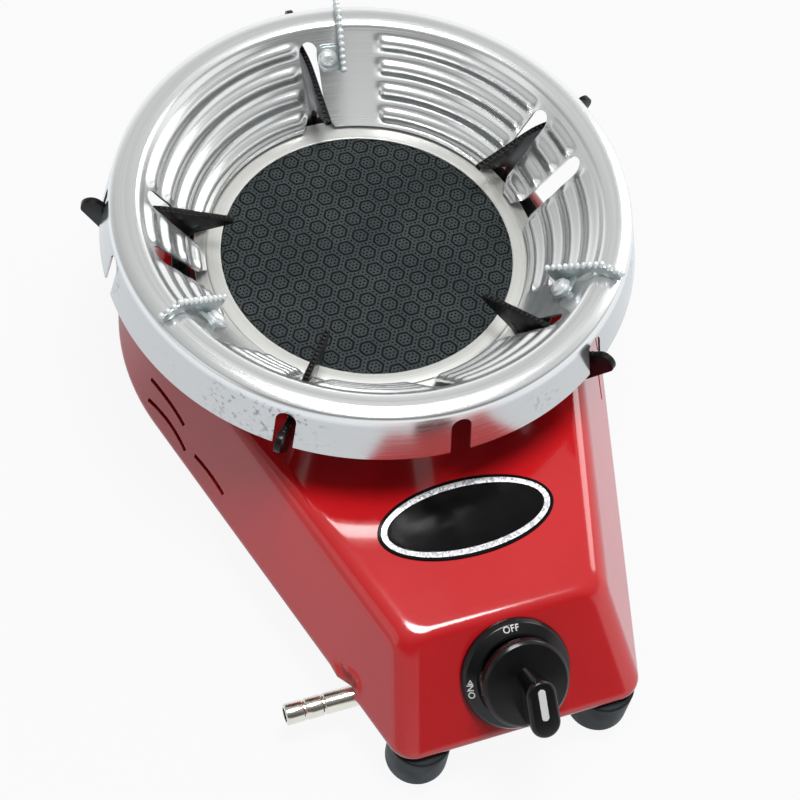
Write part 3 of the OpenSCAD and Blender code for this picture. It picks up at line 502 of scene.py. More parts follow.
RED_ENAMEL = Finish("red_enamel_gloss", "red_enamel", (0.58, 0.008, 0.012), (0.64, 0.011, 0.015),
                    rough=0.15, rough_spread=0.02, specular=0.6, coat=0.5, cloud_scale=14.0,
                    grain_scale=700.0, grain_depth=0.000004)
BLACK_FILM = Finish("black_film_gloss", "black_film", (0.004, 0.004, 0.0045), (0.007, 0.007, 0.0075),
                    rough=0.16, specular=0.1, grain_depth=0.000003)
SILVER_BORDER = Spangled("silver_border", "black_film", (0.78, 0.79, 0.82), (0.9, 0.88, 0.93),
                         rough=0.3, metal=0.6, crystal_scale=900.0)
FOOT_RUBBER = Finish("foot_rubber_matt", "foot_rubber", (0.014, 0.018, 0.021), (0.022, 0.027, 0.03),
                     rough=0.5, specular=0.15, grain_scale=1600.0, grain_depth=0.00004)
ZINC = Spangled("zinc_plate", "zinc_steel", (0.44, 0.5, 0.51), (0.54, 0.59, 0.6), rough=0.4, metal=0.8,
                crystal_scale=260.0)
# Painted highlight: a lighter copy of the zinc for the bead rows and the bracket screw heads
ZINC_PAINTED_HIGHLIGHT = Finish("rubbed_zinc", "zinc_steel", (0.8, 0.83, 0.83), (0.88, 0.9, 0.9), rough=0.34, metal=0.45)
BURNER_IRON = Finish("grey_cast_iron", "burner_iron", (0.14, 0.14, 0.145), (0.2, 0.2, 0.205), rough=0.62,
                     metal=0.7, grain_scale=900.0, grain_depth=0.00012)
GASKET_FIBRE = Finish("pale_fibre", "gasket_fibre", (0.74, 0.72, 0.66), (0.83, 0.81, 0.76), rough=0.9,
                      specular=0.1, grain_scale=1800.0, grain_depth=0.0002)
RIM_STEEL = SpunMetal("bright_rim_steel", "rim_steel", (0.62, 0.63, 0.6), (0.7, 0.7, 0.67), rough=0.36,
                      metal=0.6, grain_depth=0.000004)
RING_METAL = SpunMetal("spun_ring_metal", "ring_metal", (0.85, 0.865, 0.865), (0.91, 0.92, 0.92), rough=0.22,
                       metal=0.85, grain_depth=0.000005, skirt_from=0.1135, skirt_top=0.1135)
# Painted shade: a dark copy of the ring metal for the hidden faces under the lip, inside the skirt and behind
# the wall; the metal there is also duller
RING_PAINTED_SHADE = Finish("dull_ring_metal", "ring_metal", (0.1, 0.1, 0.105), (0.16, 0.16, 0.165), rough=0.6,
                   metal=0.7, grain_scale=900.0)
BRASS = Finish("machined_brass", "brass", (0.66, 0.45, 0.17), (0.74, 0.54, 0.24), rough=0.28, metal=1.0)
CHROME = Finish("chrome_plate", "nipple_chrome", (0.74, 0.72, 0.66), (0.82, 0.78, 0.68), rough=0.16,
                rough_spread=0.03, metal=1.0, cloud_scale=90.0, grain_depth=0.000004)
BLACK_PLASTIC = Finish("black_moulded_plastic", "black_plastic", (0.004, 0.004, 0.0045),
                       (0.007, 0.007, 0.0075), rough=0.2, rough_spread=0.04, specular=0.4,
                       grain_scale=1400.0, grain_depth=0.00001)
DIAL_WHITE = Finish("dial_white", "black_plastic", (0.75, 0.75, 0.74), (0.82, 0.82, 0.81), rough=0.5)
SILVER_INLAY = Finish("silver_inlay_foil", "silver_inlay", (0.86, 0.86, 0.85), (0.92, 0.92, 0.91), rough=0.36,
                      metal=0.2, grain_depth=0.000006)
BLACK_ENAMEL = Finish("black_enamel_gloss", "black_enamel", (0.004, 0.0042, 0.0045), (0.009, 0.0092, 0.0095),
                      rough=0.3, rough_spread=0.08, specular=0.22, coat=0.08, coat_rough=0.12,
                      grain_scale=500.0, grain_depth=0.00006)
PLATE_CERAMIC = Perforated("charcoal_ceramic", "plate_ceramic", (0.032, 0.04, 0.042), (0.044, 0.053, 0.055),
                           rough=0.8, specular=0.25, grain_scale=2600.0, grain_depth=0.00008,
                           face_h=float(node_box("ceramic_plate")[1][2]) * MM - 0.00012)


def settle(obj: bpy.types.Object, body: Body, finish: Finish, *nodes: str, crease: float = 32,
           more: Sequence[Finish] = ()) -> bpy.types.Object:
    """Brings a finished piece into the frame.

    Args:
        obj: The piece, in millimetres.
        body: Body that it rides on.
        finish: Its finish.
        *nodes: Construction nodes that it stands for.
        crease: Angle in degrees above which an edge stays sharp.
        more: Finishes of its further material slots.

    Returns:
        The piece, in metres.
    """
    obj.data.transform(Matrix.Scale(MM, 4))
    obj.data.shade_smooth()
    obj.data.set_sharp_from_angle(angle=math.radians(crease))
    keep = [polygon.material_index for polygon in obj.data.polygons]
    obj.data.materials.clear()
    for each in (finish, *more):
        obj.data.materials.append(material_of(each))
    if more:
        obj.data.polygons.foreach_set("material_index", keep)
    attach(obj, body.value)
    if nodes:
        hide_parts(*nodes)
    log.info("%s: %d faces on %s, for %s", obj.name, len(obj.data.polygons), body.value, ", ".join(nodes))
    return obj


def material_of(finish: Finish) -> bpy.types.Material:
    """The one material of a finish, made when it is first asked for."""
    return bpy.data.materials.get(finish.name) or finish.material()


# Geometry node trees


class Growing(Draft):
    """A geometry node tree with named inputs, while it is drawn up and when it is run."""

    def __init__(self, name: str) -> None:
        """Starts a tree with a geometry input and output."""
        super().__init__(bpy.data.node_groups.new(name, "GeometryNodeTree"))
        self.ids: dict[str, str] = {}
        self.tree.interface.new_socket("Geometry", in_out="OUTPUT", socket_type="NodeSocketGeometry")
        self.source, self.out = self.node("NodeGroupInput"), self.node("NodeGroupOutput")
        self.shape = self.input("Geometry", "Geometry")
        self.finish = self.input("Material", "Material")

    def input(self, name: str, kind: str = "Float") -> bpy.types.NodeSocket:
        """Adds a named input of a kind."""
        made = self.tree.interface.new_socket(name, in_out="INPUT", socket_type="NodeSocket" + kind)
        self.ids[name] = made.identifier
        return self.source.outputs[name]

    def close(self, shape: bpy.types.NodeSocket) -> None:
        """Ends the tree: instances are made real and take the material."""
        real = self.node("GeometryNodeRealizeInstances", Geometry=shape)
        dressed = self.node("GeometryNodeSetMaterial", Geometry=real.outputs[0], Material=self.finish)
        self.tree.links.new(dressed.outputs[0], self.out.inputs[0])

    def run(self, obj: bpy.types.Object, **values: Any) -> bpy.types.Object:
        """Runs the tree on an object, with its inputs by name, and keeps the plain mesh."""
        grown = obj.modifiers.new(self.tree.name, "NODES")
        grown.node_group = self.tree
        for name, value in values.items():
            grown[self.ids[name.replace("_", " ")]] = value
        return bake(obj)


class BeadRow(Growing):
    """Beads set along a path in the plane of X and Z, each turned to the path and slanted on it."""

    def __init__(self) -> None:
        """Draws the tree up."""
        super().__init__("bead_row")
        pitch = self.input("Pitch")
        size = self.input("Size", "Vector")
        slant = self.input("Slant")
        path = self.node("GeometryNodeMeshToCurve", Mesh=self.shape)
        even = self.node("GeometryNodeCurveToPoints", {"mode": "LENGTH"}, Curve=path.outputs[0], Length=pitch)
        ball = self.node("GeometryNodeMeshUVSphere", Segments=12, Rings=8, Radius=1.0)
        bead = self.node("GeometryNodeTransform", Geometry=ball.outputs[0], Scale=size,
                         Rotation=self.combine(y=slant))
        turn = self.node("FunctionNodeAlignRotationToVector", {"axis": "X"}, Vector=even.outputs["Tangent"])
        beads = self.node("GeometryNodeInstanceOnPoints", Points=even.outputs["Points"],
                          Instance=bead.outputs[0], Rotation=turn.outputs[0])
        self.close(beads.outputs[0])

    def along(self, name: str, path: Sequence[Point], pitch: float, size: Sequence[float], slant: float,
              finish: Finish, place: Matrix) -> bpy.types.Object:
        """Sets beads along a path of X and Z in a frame.

        Args:
            name: Name of the row.
            path: Points of the path.
            pitch: Distance between beads.
            size: Half sizes of a bead along the path, across it and away from it.
            slant: Lean of a bead against the path, in degrees.
            finish: Finish of the beads.
            place: Frame that holds the path.

        Returns:
            The row of beads.
        """
        mesh = bpy.data.meshes.new(name)
        mesh.from_pydata([(x, 0, z) for x, z in path], [(k, k + 1) for k in range(len(path) - 1)], [])
        row = linked(name, mesh)
        self.run(row, Material=material_of(finish), Pitch=pitch, Size=tuple(size), Slant=math.radians(slant))
        row.data.transform(place)
        return row


class CopySet(Growing):
    """Copies of one shape at the points of a mesh, turned by the points' own angles."""

    def __init__(self) -> None:
        """Draws the tree up."""
        super().__init__("copy_set")
        shape = self.node("GeometryNodeObjectInfo", Object=self.input("Shape", "Object"))
        size = self.input("Size")
        turn = self.node("GeometryNodeInputNamedAttribute", {"data_type": "FLOAT_VECTOR"}, Name="turn")
        whirl = self.node("FunctionNodeEulerToRotation", Euler=turn.outputs[0])
        copies = self.node("GeometryNodeInstanceOnPoints", Points=self.shape, Rotation=whirl.outputs[0],
                           Instance=shape.outputs["Geometry"], Scale=size)
        self.close(copies.outputs[0])

    def at(self, name: str, shape: bpy.types.Object, places: Sequence[Matrix], finish: Finish,
           size: float = 1.0) -> bpy.types.Object:
        """Copies a shape to several frames and removes it.

        Args:
            name: Name of the set.
            shape: The shape to copy.
            places: Frame of each copy.
            finish: Finish of the copies.
            size: Scale of the copies.

        Returns:
            The set of copies.
        """
        mesh = bpy.data.meshes.new(name)
        mesh.from_pydata([tuple(place.translation) for place in places], [], [])
        turns = mesh.attributes.new("turn", "FLOAT_VECTOR", "POINT")
        turns.data.foreach_set("vector", [a for place in places for a in place.to_euler()])
        made = linked(name, mesh)
        self.run(made, Material=material_of(finish), Shape=shape, Size=size)
        bpy.data.objects.remove(shape)
        return made


class CellField(Growing):
    """Cells on a triangular lattice, trimmed to a disc."""

    def __init__(self) -> None:
        """Draws the tree up."""
        super().__init__("cell_field")
        cell = self.node("GeometryNodeObjectInfo", Object=self.input("Cell", "Object"))
        pitch, radius, turn, across = (self.input(n) for n in ("Pitch", "Radius", "Turn", "Across"))
        index = self.node("GeometryNodeInputIndex").outputs[0]
        half = self.maths("FLOOR", self.maths("DIVIDE", across, 2.0))
        row = self.maths("SUBTRACT", self.maths("FLOOR", self.maths("DIVIDE", index, across)), half)
        step = self.maths("SUBTRACT", self.maths("MODULO", index, across), half)
        shift = self.maths("ADD", step, self.maths("MULTIPLY", row, 0.5))
        away = self.maths("MULTIPLY", self.maths("MULTIPLY", row, math.sqrt(0.75)), pitch)
        spot = self.combine(self.maths("MULTIPLY", shift, pitch), away)
        swung = self.node("ShaderNodeVectorRotate", {"rotation_type": "Z_AXIS"}, Vector=spot, Angle=turn)
        points = self.node("GeometryNodePoints", Count=self.maths("MULTIPLY", across, across),
                           Position=swung.outputs[0])
        near = self.maths("ADD", radius, self.maths("MULTIPLY", pitch, 0.6))
        kept = self.node("GeometryNodeDeleteGeometry", Geometry=points.outputs[0],
                         Selection=self.beyond(near))
        cells = self.node("GeometryNodeInstanceOnPoints", Points=kept.outputs[0],
                          Instance=cell.outputs["Geometry"], Rotation=self.combine(z=turn))
        real = self.node("GeometryNodeRealizeInstances", Geometry=cells.outputs[0])
        inside = self.node("GeometryNodeDeleteGeometry", {"domain": "FACE"}, Geometry=real.outputs[0],
                           Selection=self.beyond(radius))
        x, y, z = self.parts(self.spot())
        share = self.maths("DIVIDE", radius, self.reach())
        edge = self.combine(self.maths("MULTIPLY", x, share), self.maths("MULTIPLY", y, share), z)
        trimmed = self.node("GeometryNodeSetPosition", Geometry=inside.outputs[0], Position=edge,
                            Selection=self.beyond(radius))
        welded = self.node("GeometryNodeMergeByDistance", Geometry=trimmed.outputs[0], Distance=0.002)
        self.close(welded.outputs[0])

    def spot(self) -> bpy.types.NodeSocket:
        """Place of each point."""
        return self.node("GeometryNodeInputPosition").outputs[0]

    def reach(self) -> bpy.types.NodeSocket:
        """Distance of each point from the middle."""
        return self.vector("LENGTH", self.vector("MULTIPLY", self.spot(), (1, 1, 0)))

    def beyond(self, radius: bpy.types.NodeSocket) -> bpy.types.NodeSocket:
        """Whether a point lies beyond a radius."""
        way = {"operation": "GREATER_THAN"}
        return self.node("FunctionNodeCompare", way, i0=self.reach(), i1=radius).outputs[0]


# Body


@dataclass
class Shell:
    """Pressed body shell: outlines that lean in from the lower edge to the deck, as one closed sheet."""

    sheet: float = 1.2
    back: Point = (118.0, 96.3)
    front: Point = (227.3, 185.7)
    corner: Point = (58.5, 48.3)
    corner_r: float = 12.0
    deck_edge: float = 9.0
    low_edge: float = 3.0
    flange: float = 18.0
    burner_hole: float = 77.0
    stem_hole: float = 5.0
    cut_deep: float = 4.0
    vent_w: float = 2.0
    vents: tuple[tuple[float, float, float, float], ...] = (
        (1.0, 17.5, 29.7, 79.2), (7.0, 10.5, 33.0, 56.1), (41.0, 11.9, 24.1, 79.2))
    dent_back: float = 1.5
    dent_deep: float = 2.8
    dent_r: float = 4.6
    dent_up: float = 5.0
    dent_blend: float = 1.3
    dent_lip: float = 0.8
    dent_lip_off: float = 1.3
    dent_reach: Point = (-8.0, 2.0)
    dent_fade: float = 4.0

    def lean(self, face: Point) -> float:
        """Lean of a face from upright, in radians."""
        return math.atan((face[0] - face[1]) / (DECK_H - EDGE_H))

    def at(self, face: Point, z: float) -> float:
        """Reach of a leaning face at a height."""
        return face[0] + (face[1] - face[0]) * (z - EDGE_H) / (DECK_H - EDGE_H)

    def reach(self, face: Point, z: float, inset: float) -> float:
        """Reach of a face with its rounded edges, moved in by the sheet's thickness or none.

        Args:
            face: Reach at the lower edge and at the deck.
            z: Height.
            inset: How far the face is moved in.

        Returns:
            The reach at that height.
        """
        a = self.lean(face)
        top, low = self.deck_edge - inset, self.low_edge - inset
        high_z = DECK_H - inset - top * (1 - math.sin(a))
        low_z = EDGE_H + inset + low * (1 + math.sin(a))
        shift = inset / math.cos(a)
        if z > high_z:
            bulge = math.sqrt(max(0, top**2 - (z - DECK_H + inset + top) ** 2))
            return self.at(face, high_z) - shift - top * math.cos(a) + bulge
        if z < low_z:
            bulge = math.sqrt(max(0, low**2 - (z - EDGE_H - inset - low) ** 2))
            return self.at(face, low_z) - shift - low * math.cos(a) + bulge
        return self.at(face, z) - shift

    def side_turn(self, z: float, inset: float) -> float:
        """Direction that a flat side faces in plan, in radians from +X."""
        c = self.corner_spot(z, inset)
        beyond = self.reach(self.back, z, inset) - self.corner_r + inset
        return math.acos(beyond / c.length) - math.atan2(c.y, c.x)

    def corner_spot(self, z: float, inset: float) -> Vector:
        """Centre of a front corner, as its distance from the middle plane and from the burner axis."""
        r = self.corner_r - inset
        return Vector((self.reach(self.corner, z, inset) - r, self.reach(self.front, z, inset) - r))

    def outline(self, z: float, inset: float) -> np.ndarray:
        """Outline of the shell at a height, about the burner axis, with the same columns at every height."""
        c, r = self.corner_spot(z, inset), self.corner_r - inset
        back, psi = self.reach(self.back, z, inset), math.degrees(self.side_turn(z, inset))
        right = np.array(arc((c.x, -c.y), r, -90, psi, 14))
        round_back = np.array(arc((0, 0), back, psi, 180 - psi, 110))
        shares = np.concatenate([np.linspace(0, 0.17, 30)[1:], np.linspace(0.17, 1, 26)[1:-1]])[:, None]
        side = right[-1] + shares * (round_back[0] - right[-1])
        flip = np.array([-1, 1])
        front = np.linspace(right[0] * flip, right[0], 26)[1:-1]
        return np.concatenate([right, side, round_back, side[::-1] * flip, right[::-1] * flip, front])

    def levels(self, inset: float) -> list[float]:
        """Heights of the outlines, from the deck down to the lower edge."""
        leans = [self.lean(face) for face in (self.front, self.back, self.corner)]
        top, low = self.deck_edge - inset, self.low_edge - inset
        high = DECK_H - inset - top * (1 - np.sin(np.linspace(math.pi / 2, min(leans), 14)))
        tangents = [DECK_H - inset - top * (1 - math.sin(a)) - step for a in leans for step in (0, 0.4)]
        foot = EDGE_H + inset + low * (1 - np.cos(np.linspace(math.pi / 2 + max(leans), 0, 9)))
        middle = np.arange(foot[0] + 1, min(high) - 0.6, 1.0)
        return sorted({round(float(z), 4) for z in (*high, *tangents, *middle, *foot)}, reverse=True)

    def wall(self, inset: float) -> list[np.ndarray]:
        """Loops of one face of the sheet, from the burner hole over the deck and down to the flange."""
        deck_z, low_z = DECK_H - inset, EDGE_H + inset
        rim = self.outline(deck_z, inset)
        turn = np.arctan2(rim[:, 1], rim[:, 0])
        hole = self.burner_hole * np.stack([np.cos(turn), np.sin(turn)], 1)
        flat = [(hole + share * (rim - hole), deck_z) for share in (0, 0.5, 0.97)]
        sides = [(self.outline(z, inset), z) for z in self.levels(inset)]
        foot = self.outline(EDGE_H, 0)
        opening = foot * (1 - self.flange / np.linalg.norm(foot, axis=1, keepdims=True))
        loops = [*flat, *sides, (opening, low_z)]
        return [np.column_stack([xy, np.full(len(xy), z)]) for xy, z in loops]

    def side_frame(self, hand: int, back_y: float, z: float) -> Matrix:
        """Frame on a side of the shell: Z points out of it, X down it and Y along it."""
        flip = Matrix.Scale(-1, 4, (1, 0, 0)) if hand < 0 else Matrix.Identity(4)
        place = Matrix.Translation((self.at(self.back, z), -back_y, z))
        tilt = Matrix.Rotation(math.pi / 2 - self.lean(self.back), 4, "Y")
        turn = Matrix.Rotation(self.side_turn(z, 0), 4, "Z")
        return turned(0) @ flip @ turn @ place @ tilt

    def dented(self, points: np.ndarray) -> np.ndarray:
        """Presses a round-topped hollow into the lower edge of the left side, over the inlet pipe.

        Args:
            points: All points of the shell, about the burner axis.

        Returns:
            The points with the hollow pressed in.
        """
        psi = self.side_turn(EDGE_H + self.dent_up, 0)
        lean = self.lean(self.back)
        out = np.array([-math.cos(psi) * math.cos(lean), math.sin(psi) * math.cos(lean), math.sin(lean)])
        along = np.array([math.sin(psi), math.cos(psi), 0])
        up = np.cross(out, along)
        up *= np.sign(up[2])
        start = np.array([0, PIPE_Y + self.dent_back - AXIS_Y, EDGE_H + self.dent_up])
        start[0] = -(self.at(self.back, start[2]) - start[1] * math.sin(psi)) / math.cos(psi)
        away = points - start
        s, u, n = away @ along, away @ up, away @ out
        gap = np.hypot(s, np.maximum(u, 0))
        deep = self.dent_deep * smooth((self.dent_r + self.dent_blend - gap) / self.dent_blend)
        past = (gap - self.dent_r) / self.dent_blend - self.dent_lip_off
        deep -= self.dent_lip * np.exp(-(past**2))
        deep *= smooth((n - self.dent_reach[0]) / self.dent_fade) * (n < self.dent_reach[1])
        return points - deep[:, None] * out

    def slit(self, hand: int, vent: tuple[float, float, float, float]) -> bpy.types.Object:
        """Cutter of one bowed vent slit.

        Args:
            hand: Side of the shell.
            vent: Distance behind the burner axis, height above the edge, length and bow radius.

        Returns:
            The cutter.
        """
        back_y, up, length, bow = vent
        half = math.degrees(length / bow) / 2
        w, ends = self.vent_w / 2, (180 - half, 180 + half)
        band = arc((bow, 0), bow + w, *ends, 16) + arc((bow, 0), bow - w, *ends[::-1], 16)
        loops = [[(x, y, z) for x, y in band] for z in (-self.cut_deep, self.cut_deep)]
        return lofted("slit", loops, self.side_frame(hand, back_y, EDGE_H + up))

    def build(self) -> None:
        """Builds the shell and cuts its slits and holes."""
        outer, inner = self.wall(0), self.wall(self.sheet)
        loops = np.array(outer + inner[::-1])
        rows, cols = loops.shape[:2]
        points = self.dented(loops.reshape(-1, 3)) + (0, AXIS_Y, 0)
        shell = mesh_object("enamelled_shell", points, grid_faces(rows, cols, True, True))
        tools = [self.slit(hand, vent) for hand in (-1, 1) for vent in self.vents]
        r, deep = self.stem_hole, self.cut_deep
        bore = [(CORE_R, -deep), (r, -deep), (r, deep), (CORE_R, deep)]
        tools.append(revolved("stem_hole", bore, 32, on_panel()))
        carved(shell, joined("cutters", tools))
        settle(shell, Body.STOVE, RED_ENAMEL, "body_shell", crease=38)


@dataclass
class NamePlate:
    """Bare oval film on the deck with a silver border."""

    margin: float = 1.6
    border: float = 2.6
    film_drop: float = 0.05
    columns: int = 120

    def build(self) -> None:
        """Builds the plate in rings from its edge to its middle."""
        low, high = node_box("name_plate")
        middle, half = (low + high) / 2, (high - low) / 2
        top = high[2] - low[2]
        inner = self.margin + self.border
        film = top - self.film_drop
        rings = [(0, 0), (0, top - 0.2), (0.25, top), (self.margin, top), (inner, top), (inner + 0.3, film),
                 (half[1] * 0.6, film), (half[1] - 0.01, film)]
        turns = np.linspace(0, 2 * math.pi, self.columns, endpoint=False)
        loops = [[((half[0] - inset) * math.cos(a), (half[1] - inset) * math.sin(a), h) for a in turns]
                 for inset, h in rings]
        oval = lofted("oval_plate", loops, Matrix.Translation((middle[0], middle[1], low[2])))
        for polygon in oval.data.polygons:
            spot = Vector(polygon.center) - Vector(middle)
            share = math.hypot(spot.x / (half[0] - self.margin), spot.y / (half[1] - self.margin))
            inside = math.hypot(spot.x / (half[0] - inner), spot.y / (half[1] - inner))
            polygon.material_index = int(share < 1 < inside)
        settle(oval, Body.STOVE, BLACK_FILM, "name_plate", more=[SILVER_BORDER])


@dataclass
class Feet:
    """Rubber feet with a rounded lower edge and a recess for the screw."""

    sole_r: float = 9.0
    recess_r: float = 4.5
    recess_share: float = 0.4
    bore_r: float = 2.2
    names: tuple[str, ...] = ("foot_front_left", "foot_front_right", "foot_rear_left", "foot_rear_right")

    def build(self) -> None:
        """Builds one foot for each node."""
        for name in self.names:
            low, high = node_box(name)
            r, h = (high[0] - low[0]) / 2, high[2] - low[2]
            deep = h * self.recess_share
            section = fillet(
                [(self.recess_r, 0), (self.sole_r, 0), (r, 0), (r, h), (self.bore_r, h), (self.bore_r, deep),
                 (self.recess_r, deep)],
                [0.3, 0.1, 4.2, 1.2, 0.1, 0.1, 0.3], 8)
            place = Matrix.Translation(((low[0] + high[0]) / 2, (low[1] + high[1]) / 2, low[2]))
            foot = revolved(name.replace("foot", "rubber_foot"), section, 72, place)
            settle(foot, Body.STOVE, FOOT_RUBBER, name)


# Fasteners


@dataclass
class PanScrew:
    """Pan-head screw with a cross recess, its head's seat at Z = 0 and its shank below."""

    shank_r: float = 2.0
    length: float = 8.0
    washer_r: float = 0.0
    washer_t: float = 0.8

    def shape(self) -> bpy.types.Object:
        """Builds the screw.

        Returns:
            The screw, with its washer where it has one.
        """
        r, end = self.shank_r, -self.length
        head = fillet([(CORE_R, 0), (CORE_R, 1.3 * r), (1.2 * r, 1.3 * r), (2 * r, 0.75 * r), (2 * r, 0)],
                      [0, 0, 0.8 * r, 0.4 * r, 0.1], 4)
        screw = revolved("screw", head, 32, Matrix.Identity(4))
        for turn in (0, 90):
            w, half = 0.28 * r, 0.95 * r
            blade = [[(-half, -w, z), (half, -w, z), (half, w, z), (-half, w, z)] for z in (0.75 * r, 2 * r)]
            carved(screw, lofted("recess", blade, Matrix.Rotation(math.radians(turn), 4, "Z")))
        shank = [(CORE_R, 0.05), (CORE_R, end), (0.7 * r, end), (r, end + 0.4 * r), (r, 0.05)]
        parts = [screw, revolved("shank", shank, 24, Matrix.Identity(4))]
        if self.washer_r:
            out, t = self.washer_r, self.washer_t
            ring = fillet([(r, 0), (out, 0), (out, -t), (r, -t)], 0.2, 2)
            parts.append(revolved("washer", ring, 40, Matrix.Identity(4)))
        return joined("pan_screw", parts)


@dataclass
class Fasteners:
    """Screws of the body, as sets of copies."""

    copies: CopySet
    screw_r: float = 2.0
    foot_seat: float = 0.4
    bowl_x: float = 30.0
    strap_h: float = 24.2
    foot_len: float = 19.2
    strap_len: float = 7.4
    bowl_len: float = 10.5

    def up(self, x: float, y: float, z: float) -> Matrix:
        """Frame of a screw that points up, with its head below."""
        return Matrix.Translation((x, y, z)) @ Matrix.Rotation(math.pi, 4, "X")

    def build(self) -> None:
        """Builds the foot, strap and burner screws, with their heads below."""
        feet = []
        for name in Feet.names:
            low, high = node_box(name)
            seat = low[2] + (high[2] - low[2]) * self.foot_seat
            feet.append(self.up((low[0] + high[0]) / 2, (low[1] + high[1]) / 2, seat))
        low, high = node_box("strap_screws")
        reach = (high[0] - low[0]) / 2 - 2 * self.screw_r
        strap = [self.up(side * reach, AXIS_Y, EDGE_H) for side in (-1, 1)]
        bowl = [self.up(side * self.bowl_x, AXIS_Y, self.strap_h) for side in (-1, 1)]
        for node, places, length in (("foot_screws", feet, self.foot_len),
                                     ("strap_screws", strap, self.strap_len),
                                     ("burner_screws", bowl, self.bowl_len)):
            screws = self.copies.at("zinc_" + node, PanScrew(self.screw_r, length).shape(), places, ZINC)
            settle(screws, Body.STOVE, ZINC, node)


# Burner


@dataclass
class BurnerPlate:
    """Ceramic burner plate: honeycomb cells with a grooved hexagon around a flower of seven holes."""

    field: CellField
    pitch: float = 10.1
    lattice_turn: float = -29.0
    hole_r: float = 0.47
    hole_deep: float = 1.1
    flower_r: float = 1.88
    groove: tuple[float, ...] = (3.95, 3.65, 3.1, 2.8)
    groove_deep: tuple[float, ...] = (0.0, 0.55, 0.55, 0.0)
    groove_round: float = 0.9
    face_drop: float = 0.02
    across: int = 19
    edge_gap: float = 0.9

    def holes(self) -> list[tuple[float, float, float, float]]:
        """Centres of a cell's holes with the first and last angle of each one's arc."""
        side = self.pitch / math.sqrt(3)
        flower = [(0.0, 0.0, 0.0, 360.0)]
        flower += [(*arc((0, 0), self.flower_r, a, a, 1)[0], 0.0, 360.0) for a in range(30, 390, 60)]
        rim = []
        for a in range(30, 390, 60):
            here, ahead = (np.array(arc((0, 0), side, t, t, 1)[0]) for t in (a, a + 60))
            rim.append((*here, a + 120, a + 240))
            rim += [(*(here + (ahead - here) * k / 3), a + 120, a + 300) for k in (1, 2)]
        return flower + rim

    def cell(self) -> bpy.types.Object:
        """Builds one cell of the plate's face, with its face at Z = 0.

        Returns:
            The cell.
        """
        spots: list[Vector] = []
        heights: list[float] = []
        edges: list[tuple[int, int]] = []
        walls: list[list[int]] = []
        holes = self.holes()
        for x, y, start, end in holes:
            whole = end - start == 360
            steps = 8 if whole else round((end - start) / 45)
            ring = arc((x, y), self.hole_r, start, end, steps)[: 8 if whole else None]
            first = len(spots)
            spots += [Vector(p) for p in ring]
            heights += [0.0] * len(ring)
            ids = list(range(first, len(spots)))
            walls.append(ids + ids[:1] if whole else ids)
            edges += list(zip(walls[-1], walls[-1][1:]))
        for apothem, deep in zip(self.groove, self.groove_deep):
            first = len(spots)
            corner = apothem / math.cos(math.pi / 6)
            corners = [arc((0, 0), corner, a, a, 1)[0] for a in range(30, 390, 60)]
            hexagon = fillet(corners, self.groove_round, 2)
            spots += [Vector(p) for p in hexagon]
            heights += [-deep] * len(hexagon)
            edges += [(first + k, first + (k + 1) % len(hexagon)) for k in range(len(hexagon))]
        found, _, faces, origin, _, _ = delaunay_2d_cdt(spots, edges, [], 0, 1e-6)
        verts = [(p.x, p.y, heights[source[0]]) for p, source in zip(found, origin)]
        where = {source: k for k, sources in enumerate(origin) for source in sources}
        centres = np.array([hole[:2] for hole in holes])
        kept = []
        for face in faces:
            middle = np.mean([verts[k][:2] for k in face], axis=0)
            if np.min(np.hypot(*(centres - middle).T)) > self.hole_r * 0.9:
                kept.append(tuple(face))
        for ids in walls:
            base = len(verts)
            verts += [(*verts[where[k]][:2], -self.hole_deep) for k in ids]
            kept += [(where[a], where[b], base + k + 1, base + k)
                     for k, (a, b) in enumerate(zip(ids, ids[1:]))]
        mesh = bpy.data.meshes.new("plate_cell")
        mesh.from_pydata(verts, [], kept)
        return linked("plate_cell", mesh)

    def build(self) -> None:
        """Builds the plate: its body, and its face grown from cells."""
        low, high = node_box("ceramic_plate")
        r, thick = (high[0] - low[0]) / 2, high[2] - low[2]
        floor = thick - self.hole_deep
        body = revolved("plate_body", [(CORE_R, 0), (r, 0), (r, floor), (CORE_R, floor)], 128,
                        Matrix.Translation((0, AXIS_Y, low[2])))
        cell = self.cell()
        face = mesh_object("plate_face", [(0, 0, 0)], [])
        self.field.run(face, Material=material_of(PLATE_CERAMIC), Cell=cell, Pitch=self.pitch,
                       Radius=r - self.edge_gap, Turn=math.radians(self.lattice_turn),
                       Across=float(self.across))
        bpy.data.objects.remove(cell)
        face.data.transform(Matrix.Translation((0, AXIS_Y, high[2] - self.face_drop)))
        plate_piece = joined("perforated_plate", [body, face])
        settle(plate_piece, Body.STOVE, PLATE_CERAMIC, "ceramic_plate", crease=25)


@dataclass
class BurnerRim:
    """Stepped bright ring that holds the plate down."""

    show_r: float = 67.5
    step_r: float = 74.2
    step: float = 1.2
    sheet: float = 1.0

    def build(self) -> None:
        """Builds the rim with rounded bends."""
        low, high = node_box("burner_rim")
        top, t, out = high[2], self.sheet, (high[0] - low[0]) / 2
        band = top - self.step
        section = fillet(
            [(self.show_r, top - t), (self.step_r - t, top - t), (self.step_r - t, band - t), (out, band - t),
             (out, band), (self.step_r, band), (self.step_r, top), (self.show_r, top)],
            [0.3, 0.1, 0.1, 0.3, 0.3, 0.15, 0.5, 0.35], 4)
        rim = revolved("stepped_rim", section, 192, Matrix.Translation((0, AXIS_Y, 0)))
        settle(rim, Body.STOVE, RIM_STEEL, "burner_rim")


# Gas inlet


